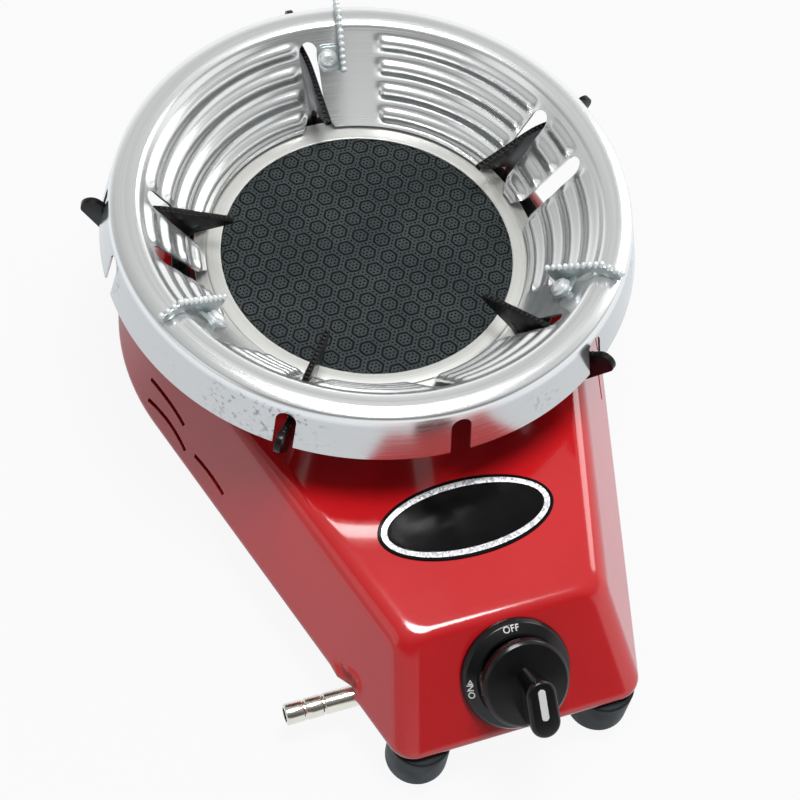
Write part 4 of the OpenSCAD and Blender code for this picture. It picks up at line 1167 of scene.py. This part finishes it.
@dataclass
class Nipple:
    """Chrome inlet pipe with an offset bend, whose free end is the hose nipple with two ring grooves."""

    r: float = 4.75
    bore_r: float = 3.2
    inlet_depth: float = 15.5
    bend_x: float = 25.0
    bend_r: float = 12.0
    bend_deg: float = 45.0
    groove_pitch: float = 8.5
    groove_w: float = 0.8
    groove_deep: float = 0.35
    grooves: int = 2
    end_round: float = 0.7
    sides: int = 56

    def route(self, offset: float, start: float, end: float) -> list[tuple[float, float, float, float]]:
        """Lays the pipe out in the plane of its bend.

        Args:
            offset: How far the bend moves the pipe aside.
            start: Distance of its inner end from the middle plane.
            end: Distance of its free end from the middle plane.

        Returns:
            Distance along, distance aside, direction and outer radius at each step.
        """
        turns = np.radians(np.linspace(0, self.bend_deg, 9))
        bend = [(self.bend_r * math.sin(a), self.bend_r * (1 - math.cos(a)), a) for a in turns]
        slant = (offset - 2 * bend[-1][1]) / math.tan(turns[-1])
        last = self.bend_x + 2 * bend[-1][0] + slant
        made = [(start, 0.0, 0.0, self.r)] + [(self.bend_x + x, y, a, self.r) for x, y, a in bend]
        made += [(last - x, offset - y, a, self.r) for x, y, a in bend[::-1]]
        for k in range(self.grooves, 0, -1):
            x, w = end - k * self.groove_pitch, self.groove_w
            made += [(x + step * w, offset, 0.0, self.r - deep * self.groove_deep)
                     for step, deep in ((-1.2, 0), (-1, 0.12), (-0.4, 1), (0.4, 1), (1, 0.12), (1.2, 0))]
        for a in np.radians(np.linspace(0, 90, 6)):
            made.append((end - self.end_round * (1 - math.sin(a)), offset, 0.0,
                         self.r - self.end_round * (1 - math.cos(a))))
        return made

    def build(self) -> None:
        """Builds the pipe: its outside from the valve to the free end, then its bore back again."""
        low, high = node_box("inlet_pipe")
        first = on_panel() @ Vector((0, 0, -self.inlet_depth))
        aside = Vector((0, PIPE_Y - first.y, PIPE_H - first.z))
        ahead, side = Vector((-1, 0, 0)), aside.normalized()
        flank = ahead.cross(side)
        steps = self.route(aside.length, -high[0], -low[0])
        steps += [(x, y, a, self.bore_r) for x, y, a, r in steps[::-1] if r == self.r or x == -low[0]]
        verts = []
        for x, y, a, r in steps:
            middle = Vector((0, first.y, first.z)) + ahead * x + side * y
            across = side * math.cos(a) - ahead * math.sin(a)
            for turn in np.linspace(0, 2 * math.pi, self.sides, endpoint=False):
                verts.append(middle + r * (across * math.cos(turn) + flank * math.sin(turn)))
        pipe = mesh_object("hose_nipple", verts, grid_faces(len(steps), self.sides, True, True))
        settle(pipe, Body.STOVE, CHROME, "inlet_pipe")


# Knob


@dataclass
class Dial:
    """Bezel on the panel with plain ON and OFF marks on its sloping face."""

    outer_r: float = 24.4
    inner_r: float = 17.4
    high: float = 6.4
    brow_r: float = 23.2
    brow_h: float = 4.3
    crest_r: float = 18.7
    text_size: float = 3.9
    text_r: float = 21.5
    proud: float = 0.08
    floor: Point = (5.4, 0.4)

    def face_h(self, r: float) -> float:
        """Height of the sloping face at a radius."""
        return self.brow_h + (self.high - self.brow_h) * (self.brow_r - r) / (self.brow_r - self.crest_r)

    def mark(self, verts: np.ndarray, faces: list[tuple[int, ...]], deg: float) -> bpy.types.Object:
        """Lays a flat mark on the sloping face.

        Args:
            verts: Points of the mark: along it, up it and its thickness.
            faces: Faces of the mark.
            deg: Direction of the mark's middle.

        Returns:
            The mark on the bezel.
        """
        r = self.text_r + verts[:, 1] * 0.95
        turn = math.radians(deg) - verts[:, 0] / self.text_r
        high = np.array([self.face_h(x) for x in r]) + verts[:, 2]
        spots = np.stack([r * np.cos(turn), r * np.sin(turn), high], 1)
        return mesh_object("mark", spots, faces, on_panel())

    def word(self, text: str, deg: float, shift: float) -> bpy.types.Object:
        """Lays a word on the bezel, with its middle at a direction and shifted along it."""
        curve = bpy.data.curves.new("word", "FONT")
        curve.body, curve.size, curve.extrude = text, self.text_size, self.proud
        curve.align_x, curve.align_y, curve.space_character = "CENTER", "CENTER", 1.05
        curve.offset = 0.04
        holder = linked("word", curve)
        bpy.context.view_layer.update()
        graph = bpy.context.evaluated_depsgraph_get()
        mesh = bpy.data.meshes.new_from_object(holder.evaluated_get(graph))
        verts = np.array([v.co for v in mesh.vertices]) + (shift, 0, 0)
        made = self.mark(verts, [tuple(p.vertices) for p in mesh.polygons], deg)
        bpy.data.objects.remove(holder)
        return made

    def arrow(self, deg: float, shift: float) -> bpy.types.Object:
        """Lays a small open triangle on the bezel."""
        shapes = [[(-1.1, -1.2), (-1.1, 1.2), (1.1, 0)], [(-0.6, -0.6), (-0.6, 0.6), (0.35, 0)]]
        verts = [(x + shift, y, h) for h in (-self.proud, self.proud) for shape in shapes for x, y in shape]
        faces = [(k + a, (k + 1) % 3 + a, (k + 1) % 3 + b, k + b)
                 for k in range(3) for a, b in ((0, 3), (6, 9), (0, 6), (3, 9))]
        return self.mark(np.array(verts), faces, deg)

    def build(self) -> None:
        """Builds the bezel with its marks."""
        hole, floor = self.floor
        section = fillet([(hole, 0), (self.outer_r, 0), (self.outer_r, 2.2), (self.brow_r, self.brow_h),
                          (self.crest_r, self.high), (self.inner_r, self.high - 1.2), (self.inner_r, floor),
                          (hole, floor)], [0.1, 0.2, 1.6, 1.6, 0.7, 0.6, 0.1, 0.1], 6)
        ring = revolved("bezel_ring", section, 128, on_panel())
        marks = [self.word("OFF", 90, 0), self.word("ON", 180, -0.9), self.arrow(180, 3.4)]
        for each in marks:
            each.data.materials.append(None)
            for polygon in each.data.polygons:
                polygon.material_index = 1
        dial = joined("knob_dial", [ring, *marks])
        settle(dial, Body.STOVE, BLACK_PLASTIC, "knob_bezel", more=[DIAL_WHITE])


@dataclass
class Knob:
    """Knob: a round skirt, and a bar grip that flares to its front face around a silver inlay."""

    skirt_r: float = 19.0
    low: float = 9.9
    skirt: float = 6.0
    front: float = 33.0
    front_round: float = 1.6
    grip_len: float = 25.0
    grip_w: float = 13.0
    grip_drop: float = 4.95
    root_len: float = 26.5
    root_w: float = 8.6
    stem_r: float = 3.05
    inlay: tuple[float, float, float, float] = (3.2, 14.0, 0.8, -2.75)

    def stadium(self, length: float, width: float, h: float, shift: float) -> list[Sequence[float]]:
        """Loop with round ends, long along Y, at a height."""
        run = (length - width) / 2
        ends = arc((0, shift + run), width / 2, 0, 180, 20) + arc((0, shift - run), width / 2, 180, 360, 20)
        return [(x, y, h) for x, y in ends]

    def grip(self) -> bpy.types.Object:
        """Builds the bar grip with rounded front edges and a slot for the inlay."""
        low, loops = self.low + self.skirt - 1.5, []
        for share in np.linspace(0, 1, 12):
            flare = share**1.7
            loops.append(self.stadium(self.root_len + (self.grip_len - self.root_len) * share,
                                      self.root_w + (self.grip_w - self.root_w) * flare,
                                      low + (self.front - self.front_round - low) * share, -self.grip_drop))
        for turn in np.radians(np.linspace(15, 90, 6)):
            inset = self.front_round * (1 - math.cos(turn))
            loops.append(self.stadium(self.grip_len - 2 * inset, self.grip_w - 2 * inset,
                                      self.front - self.front_round * (1 - math.sin(turn)), -self.grip_drop))
        grip = lofted("grip", loops, on_panel())
        w, length, deep, up = self.inlay
        slot = [self.stadium(length + 0.1, w + 0.1, h, up) for h in (self.front - deep, self.front + 2)]
        return carved(grip, lofted("slot", slot, on_panel()))

    def build(self) -> None:
        """Builds the knob and its inlay."""
        r, low, top = self.skirt_r, self.low, self.low + self.skirt
        section = fillet([(self.stem_r, low + 1), (r - 2.4, low + 1), (r - 2.4, low), (r - 0.6, low),
                          (r, low + 1), (r, top - 1.2), (r - 1.4, top), (CORE_R, top + 1.5),
                          (CORE_R, top - 1.6), (self.stem_r, top - 1.6)],
                         [0.1, 0.2, 0.3, 0.3, 0.4, 0.8, 0.8, 0, 0, 0.1], 5)
        skirt = revolved("skirt", section, 128, on_panel())
        knob = carved(skirt, self.grip(), "UNION")
        knob.name = "bar_knob"
        settle(knob, Body.KNOB, BLACK_PLASTIC, "knob")
        w, length, deep, up = self.inlay
        loops = [self.stadium(length - 2 * inset, w - 2 * inset, self.front - drop, up)
                 for inset, drop in ((0, deep), (0, 0.12), (0.12, 0), (0.8, 0))]
        settle(lofted("grip_inlay", loops, on_panel()), Body.KNOB, SILVER_INLAY, "knob_inlay")


# Pan support


@dataclass
class PanSupport:
    """Claws with finely toothed upper edges on a ring that lies on the deck."""

    beads: BeadRow
    turns: tuple[tuple[str, float], ...] = (
        ("right", 18), ("rear", 90), ("left", 162), ("front_left", 234), ("front_right", 306))
    out_r: float = 129.5
    in_r: float = 62.0
    thick: float = 2.8
    tip_h: float = 96.5
    tip_deep: float = 2.5
    crest: Point = (95.75, 102.5)
    dip: Point = (115.0, 98.5)
    end_h: float = 105.5
    finger_r: float = 5.0
    heel: Point = (119.0, 82.5)
    leg: Point = (82.5, 89.5)
    web: Point = (84.5, 77.5)
    tooth_pitch: float = 2.4
    tooth: Spot = (0.85, 1.35, 0.85)
    edge: float = 0.5
    steps: int = 5

    def outline(self) -> list[Point]:
        """Outline of a claw, in radius and height, with its upper edge sunk by half a tooth."""
        sink = self.tooth[2] * 0.6
        ring_top = node_box("base_ring")[1][2]
        finger = (self.out_r - self.finger_r, self.end_h - self.finger_r)
        top = [(self.in_r, self.tip_h - self.tip_deep)]
        top += [(r, h - sink) for r, h in ((self.in_r, self.tip_h), self.crest, self.dip)]
        end = arc(finger, self.finger_r - 0.01, 130, -14, 12)
        foot = [self.heel, (self.leg[1], self.web[1]), (self.leg[1], ring_top), (self.leg[0], ring_top),
                (self.leg[0], self.web[0])]
        radii = [0.8, 0.8, 30, 9, *[0] * len(end), 4, 5, 0.2, 0.2, 8]
        return fillet(top + end + foot, radii, self.steps)

    def build(self) -> None:
        """Builds the ring and five claws."""
        low, high = node_box("base_ring")
        bore, out = self.leg[0] - 0.5, (high[0] - low[0]) / 2
        ring = fillet([(bore, low[2]), (out, low[2]), (out, high[2]), (bore, high[2])], 0.8, 3)
        settle(revolved("support_ring", ring, 160, Matrix.Translation((0, AXIS_Y, 0))), Body.PAN_SUPPORT,
               BLACK_ENAMEL, "base_ring")
        corner = self.steps + 1
        path = self.outline()[2 * corner - 1: 4 * corner]
        for name, deg in self.turns:
            place = turned(deg)
            claw = bevelled(plate("claw", self.outline(), self.thick, place), self.edge, 3)
            teeth = self.beads.along("teeth", path, self.tooth_pitch, self.tooth, 0, BLACK_ENAMEL, place)
            made = joined(f"toothed_claw_{name}", [claw, teeth])
            settle(made, Body.PAN_SUPPORT, BLACK_ENAMEL, f"claw_{name}")


# Wind ring


@dataclass
class WindRing:
    """Formed sheet ring: a flared skirt, a rolled lip and a ribbed bowl wall with open slots."""

    sheet: float = 1.0
    lip_out: float = 116.4
    lip_in: float = 103.0
    skirt_r: float = 120.9
    skirt_h: float = 92.8
    wall_low: Point = (75.0, 76.7)
    inner_bend: float = 3.0
    crown: Point = (109.2, 13.0)
    crown_bends: tuple[tuple[float, float, float, float], ...] = (
        (2.2, 65, 13, 65), (13.0, 90, 65, 110), (4.0, 110, 110, 147.7))
    rib_high: float = 1.5
    rib_w: float = 9.9
    rib_first: float = 0.165
    rib_pitch: float = 0.235
    ribs: int = 4
    rib_fade: float = 4.0
    slots: tuple[float, ...] = (0, 18, 90, 162, 180, 234, 270, 306)
    panels: tuple[Point, ...] = ((81, 10.5), (206, 7.5), (315, 7.5))
    panel_r: float = 92.0
    slot_w: float = 9.0
    slot_top: float = 111.0
    slot_flare: float = 5.0
    slot_share: float = 0.12
    columns: int = 400

    def wall_top(self) -> np.ndarray:
        """Point where the lip's inner bend runs into the bowl wall."""
        slope = math.atan2(LIP_H - self.wall_low[1], self.lip_in - self.wall_low[0]) + math.pi / 2
        bend, mid = self.inner_bend, LIP_H - self.sheet / 2 - self.inner_bend
        return np.array([self.lip_in + bend * (1 + math.cos(slope)), mid + bend * math.sin(slope)])

    def wall_frame(self) -> tuple[np.ndarray, np.ndarray, float]:
        """Direction down the bowl wall, direction off it towards the axis, and its length."""
        run = np.array(self.wall_low) - self.wall_top()
        length = float(np.hypot(*run))
        down = run / length
        return down, np.array([down[1], -down[0]]), length

    def line(self) -> tuple[np.ndarray, np.ndarray]:
        """Middle line of the sheet from the skirt to the wall's edge, and each point's rib height."""
        down, _, length = self.wall_frame()
        middle, radius = self.crown
        bends: list[Point] = []
        for r, hinge, start, end in self.crown_bends:
            centre = arc((middle, LIP_H - self.sheet / 2 - radius), radius - r, hinge, hinge, 1)[0]
            bends += arc(centre, r, start, end, 8)
        foot = np.array([self.skirt_r, self.skirt_h])
        skirt = [tuple(foot + (np.array(bends[0]) - foot) * s) for s in np.linspace(0, 0.97, 8)]
        first = float((np.array(bends[-1]) - self.wall_top()) @ down)
        runs = np.linspace(first, length, 76)[1:]
        wall = [tuple(self.wall_top() + down * s) for s in runs]
        high = np.zeros(len(runs))
        for k in range(self.ribs):
            off = np.abs(runs - length * (self.rib_first + k * self.rib_pitch)) / (self.rib_w / 2)
            high += np.where(off < 1, self.rib_high * (1 + np.cos(np.pi * np.minimum(off, 1))) / 2, 0)
        points = np.array(skirt + bends + wall)
        return points, np.concatenate([np.zeros(len(points) - len(runs)), high])

    def fade(self, turns: np.ndarray, radii: np.ndarray) -> np.ndarray:
        """Share of the rib height left by direction and radius: none on the flats, little at the slots."""
        share = np.ones((len(turns), len(radii)))
        flats = [(deg, math.radians(half) * self.panel_r, 0.0) for deg, half in self.panels]
        for deg, half, left in flats + [(deg, self.slot_w / 2, self.slot_share) for deg in self.slots]:
            off = np.abs((turns - math.radians(deg) + math.pi) % (2 * math.pi) - math.pi)
            share *= left + (1 - left) * smooth((off[:, None] * radii[None] - half) / self.rib_fade)
        return share

    def slot_tool(self, deg: float) -> bpy.types.Object:
        """Cutter of one slot: round at the top, open and flared at the bottom."""
        half, low = self.slot_w / 2, self.wall_low[1] - 2 * self.sheet
        neck = low + 1.6 * self.slot_flare
        outline = [(half + self.slot_flare, low), (half, neck)]
        outline += arc((0, self.slot_top - half), half, 0, 180, 16)
        outline += [(-half, neck), (-half - self.slot_flare, low)]
        loops = [[(x, y, z) for y, z in outline] for x in (self.wall_low[0] - 5, self.skirt_r + 5)]
        return lofted("slot", loops, turned(deg))

    def build(self) -> None:
        """Builds the ring and cuts its slots."""
        line, high = self.line()
        turns = np.linspace(0, 2 * math.pi, self.columns, endpoint=False)
        _, off, _ = self.wall_frame()
        rise = self.fade(turns, line[:, 0]) * high[None]
        middle = line[None] + rise[..., None] * off
        run = np.gradient(middle, axis=1)
        run /= np.linalg.norm(run, axis=2, keepdims=True)
        across = np.stack([run[..., 1], -run[..., 0]], 2) * self.sheet / 2
        section = np.concatenate([middle + across, (middle - across)[:, ::-1]], 1)
        radii, heights, around = section[..., 0], section[..., 1], turns[:, None]
        spots = np.stack([radii * np.cos(around), radii * np.sin(around) + AXIS_Y, heights], 2)
        faces = grid_faces(len(turns), section.shape[1], True, True)
        ring = mesh_object("formed_ring", spots.reshape(-1, 3), faces)
        carved(ring, joined("slots", [self.slot_tool(deg) for deg in self.slots]))
        # Hidden faces take the dark painted shade
        self.mark_painted_shade(ring)
        settle(ring, Body.WIND_RING, RING_METAL, "wind_ring", crease=40, more=[RING_PAINTED_SHADE])

    def mark_painted_shade(self, ring: bpy.types.Object) -> None:
        """Gives the faces under the lip, inside the skirt and behind the wall the second finish, a dark
        painted shade.
        """
        for polygon in ring.data.polygons:
            spot = Vector((polygon.center.x, polygon.center.y - AXIS_Y, 0))
            out = polygon.normal.dot(spot.normalized())
            facing = out if spot.length > self.lip_out - 2 * self.sheet else polygon.normal.z - 0.4 * out
            polygon.material_index = int(facing < -0.2)


@dataclass
class Brackets:
    """Zinc brackets on the wind ring: an upright fin with a rope-like edge, and a tab under a screw."""

    ring: WindRing
    beads: BeadRow
    copies: CopySet
    turns: tuple[tuple[str, float, int], ...] = (("rear", 81, 1), ("left", 201, 1), ("right", 321, -1))
    thick: float = 2.0
    inner: Point = (82.5, 108.0)
    rise: float = 6.1
    drop: float = 1.5
    bead_pitch: float = 2.95
    bead: Spot = (1.25, 1.5, 1.6)
    bead_slant: float = 16.0
    tab: Spot = (12.0, 13.0, 1.5)
    tab_down: float = 0.3
    tab_turn: float = 4.0
    tab_shift: float = 2.0
    seat: float = 2.2
    gap: float = 0.3
    screw_r: float = 2.0
    screw_turn: float = 25.0
    screw_below: float = 4.5
    washer_r: float = 4.8
    washer_t: float = 0.8

    def tab_frame(self, deg: float, hand: int) -> Matrix:
        """Frame at a bracket's screw: Z points off the wall, X down it."""
        down, off, length = self.ring.wall_frame()
        spot = self.ring.wall_top() + down * length * self.tab_down
        lean = Matrix.Rotation(math.atan2(off[0], off[1]), 4, "Y")
        return turned(deg + hand * self.tab_turn) @ Matrix.Translation((spot[0], 0, spot[1])) @ lean

    def fin(self, place: Matrix) -> list[bpy.types.Object]:
        """Builds an upright fin and the two rows of beads along its top."""
        down, off, length = self.ring.wall_frame()
        lip = LIP_H + 0.2
        seat = self.ring.wall_top() + down * (length * self.tab_down + self.tab[0] / 2) + off * self.seat
        elbow = seat + down * (lip - seat[1]) / down[1]
        end = self.ring.lip_out - 1.6
        outer, bend = (end, LIP_H + self.rise - self.drop), (self.ring.lip_in + 2, LIP_H + self.rise)
        tip = (self.inner[0] + 0.5, self.inner[1] - 2.5)
        outline = fillet([tuple(elbow), (end, lip), outer, bend, self.inner, tip, tuple(seat)],
                         [2.0, 0.4, 0.6, 3.0, 0.6, 0.6, 1.0], 4)
        made = [bevelled(plate("fin", outline, self.thick, place), 0.35, 2)]
        for path in ((self.inner, bend), (bend, outer)):
            rope = self.beads.along("rope", path, self.bead_pitch, self.bead, self.bead_slant,
                                    ZINC_PAINTED_HIGHLIGHT, place)
            # The beads take the lighter zinc, a painted highlight
            rope.data.polygons.foreach_set("material_index", [1] * len(rope.data.polygons))
            made.append(rope)
        return made

    def tab_plate(self, place: Matrix, hand: int) -> bpy.types.Object:
        """Builds the rounded tab that the screw holds."""
        long, wide, t = self.tab
        x, y = long / 2, wide / 2
        shift = -hand * self.tab_shift
        outline = fillet([(-x, shift - y), (x, shift - y), (x, shift + y), (-x, shift + y)], 4.0, 6)
        low = self.seat + self.gap
        loops = [[(a, b, h) for a, b in outline] for h in (low, low + t)]
        return bevelled(lofted("tab", loops, place), 0.4, 2)

    def build(self) -> None:
        """Builds the three brackets and their screws."""
        top = self.seat + self.gap + self.tab[2] + self.washer_t
        twist = Matrix.Rotation(math.radians(self.screw_turn), 4, "Z")
        seats = []
        for name, deg, hand in self.turns:
            tab = self.tab_frame(deg, hand)
            parts = [*self.fin(turned(deg)), self.tab_plate(tab, hand)]
            bracket = joined(f"rope_bracket_{name}", parts)
            settle(bracket, Body.WIND_RING, ZINC, f"bracket_{name}", more=[ZINC_PAINTED_HIGHLIGHT])
            seats.append(tab @ Matrix.Translation((0, 0, top)) @ twist)
        # The bracket screws take the lighter zinc, a painted highlight
        screw = PanScrew(self.screw_r, top + self.screw_below, self.washer_r, self.washer_t)
        screws = self.copies.at("bracket_pan_screws", screw.shape(), seats, ZINC_PAINTED_HIGHLIGHT)
        settle(screws, Body.WIND_RING, ZINC_PAINTED_HIGHLIGHT, "bracket_screws")


# Inner construction

INNER = {
    ZINC: ("foot_nuts", "burner_strap", "strap_nuts", "valve_cover", "valve_screws", "stem_spring",
           "valve_stem", "air_shutter", "bracket_nuts"),
    BURNER_IRON: ("burner_bowl", "mixing_tube"),
    GASKET_FIBRE: ("plate_gasket",),
    BRASS: ("injector", "valve_body", "inlet_nut", "valve_plug"),
}


def dress_inner() -> None:
    """Gives the construction nodes that stay in view their finishes."""
    for finish, names in INNER.items():
        for name in names:
            node = frame["nodes"][name]
            node.data.materials.clear()
            node.data.materials.append(material_of(finish))
            log.info("%s: %s", name, finish.name)


# Studio


@dataclass
class Studio:
    """Pale floor, soft lamps, a white backdrop and the camera at the photograph's angle."""

    eye: Spot = (-0.20277, -0.40756, 0.74338)
    heading: float = -26.567
    tilt: float = 32.615
    roll: float = 9.154
    lens: float = 81.363
    sensor: float = 36.0
    floor_half: float = 20.0
    floor_tone: Colour = (0.5, 0.5, 0.5)
    floor_sheen: Colour = (0.92, 0.96, 1.0)
    floor_white: float = 0.92
    fill: float = 0.25
    ceiling: float = 0.5
    front_tone: float = 0.2
    left_tone: float = 0.55
    overhead_span: Point = (0.22, 0.6)
    left_span: Point = (-0.8, -0.2)
    front_span: Point = (-0.85, 0.1)
    level_span: Point = (0.12, 0.36)
    band_span: Point = (0.36, 0.6)
    dark_way: Spot = (0.31, -0.88, 0.355)
    dark_span: Point = (0.93, 0.985)
    aim: Spot = (0.0, 0.0, 0.06)
    lamps: tuple[tuple[str, Spot, float, float], ...] = (
        ("key_lamp", (0.1, 0.0, 1.5), 0.6, 15.0),
        ("left_lamp", (-1.4, -0.2, 0.9), 0.9, 1.0),
        ("right_lamp", (1.2, 0.5, 0.9), 0.7, 5.0))

    def camera(self) -> None:
        """Makes the camera."""
        data = bpy.data.cameras.new("photo_camera")
        data.lens, data.sensor_width, data.clip_start = self.lens, self.sensor, 0.01
        camera = linked("photo_camera", data)
        turn = [Matrix.Rotation(math.radians(a), 4, axis)
                for a, axis in ((self.heading, "Z"), (self.tilt, "X"), (self.roll, "Z"))]
        camera.matrix_world = Matrix.Translation(self.eye) @ turn[0] @ turn[1] @ turn[2]
        bpy.context.scene.camera = camera

    def lights(self) -> None:
        """Makes the soft lamps, each aimed at the middle of the part."""
        for name, spot, size, power in self.lamps:
            data = bpy.data.lights.new(name, "AREA")
            data.shape, data.size, data.energy = "DISK", size, power
            lamp = linked(name, data)
            lamp.location = spot
            lamp.rotation_euler = (Vector(self.aim) - Vector(spot)).to_track_quat("-Z", "Y").to_euler()

    def backdrop(self, draft: Draft) -> bpy.types.NodeSocket:
        """Strength by direction: white around the horizon, dimmer overhead, at the left and ahead."""
        way = draft.node("ShaderNodeTexCoord").outputs["Generated"]
        x, y, z = draft.parts(way)
        overhead = draft.ramp(z, *self.overhead_span, 1, self.ceiling)
        aside = draft.ramp(x, *self.left_span, self.left_tone, 1)
        ahead = draft.ramp(y, *self.front_span, self.front_tone, 1)
        level = draft.ramp(z, *self.level_span, 1, 0)
        clear = draft.ramp(draft.vector("DOT_PRODUCT", way, self.dark_way), *self.dark_span, 1, 0)
        band = draft.maths("MULTIPLY", draft.ramp(z, *self.band_span, 1, 0), clear)
        tone = draft.maths("MAXIMUM", ahead, draft.maths("MAXIMUM", level, band))
        return draft.maths("MULTIPLY", draft.maths("MULTIPLY", overhead, tone), aside)

    def world(self) -> None:
        """Makes the backdrop that the camera and reflections see, and an even fill light."""
        world = bpy.data.worlds.new("studio")
        bpy.context.scene.world = world
        world.use_nodes = True
        draft = Draft(world.node_tree)
        path = draft.node("ShaderNodeLightPath").outputs
        seen = draft.maths("MAXIMUM", path["Is Camera Ray"], path["Is Glossy Ray"])
        seen = draft.maths("MAXIMUM", seen, path["Is Transmission Ray"])
        light, scenery = (draft.node("ShaderNodeBackground", Color=(1, 1, 1, 1), Strength=strength).outputs[0]
                          for strength in (self.fill, self.backdrop(draft)))
        mix = draft.node("ShaderNodeMixShader", i0=seen, i1=light, i2=scenery)
        draft.node("ShaderNodeOutputWorld", i0=mix.outputs[0])

    def floor(self) -> None:
        """Makes the floor: matt and pale, nearly white to the camera, with its own sheen in reflections."""
        h = self.floor_half
        mesh = bpy.data.meshes.new("floor")
        mesh.from_pydata([(-h, -h, 0), (h, -h, 0), (h, h, 0), (-h, h, 0)], [], [(0, 1, 2, 3)])
        material = bpy.data.materials.new("pale_floor")
        material.use_nodes = True
        draft = Draft(material.node_tree)
        path = draft.node("ShaderNodeLightPath").outputs
        shader = draft.node("ShaderNodeBsdfDiffuse", Color=(*self.floor_tone, 1))
        for ray, tone, share in (("Camera", (1, 1, 1), self.floor_white), ("Glossy", self.floor_sheen, 1.0)):
            glow = draft.node("ShaderNodeEmission", Color=(*tone, 1))
            part = draft.maths("MULTIPLY", path[f"Is {ray} Ray"], share)
            shader = draft.node("ShaderNodeMixShader", i0=part, i1=shader.outputs[0], i2=glow.outputs[0])
        draft.node("ShaderNodeOutputMaterial", i0=shader.outputs[0])
        mesh.materials.append(material)
        linked("floor", mesh)

    def build(self) -> None:
        """Sets the studio up."""
        bpy.context.scene.view_settings.view_transform = "Standard"
        self.camera()
        self.lights()
        self.world()
        self.floor()
        log.info("studio ready")


def main() -> None:
    """Builds the studio, then every sub-assembly in order."""
    logging.basicConfig(level=logging.INFO, format="%(name)s: %(message)s")
    beads, copies, ring = BeadRow(), CopySet(), WindRing()
    for assembly in (Studio(), Shell(), NamePlate(), Feet(), Fasteners(copies), BurnerPlate(CellField()),
                     BurnerRim(), Nipple(), Dial(), Knob(), PanSupport(beads), ring,
                     Brackets(ring, beads, copies)):
        assembly.build()
    dress_inner()


if __name__ == "__main__":
    main()
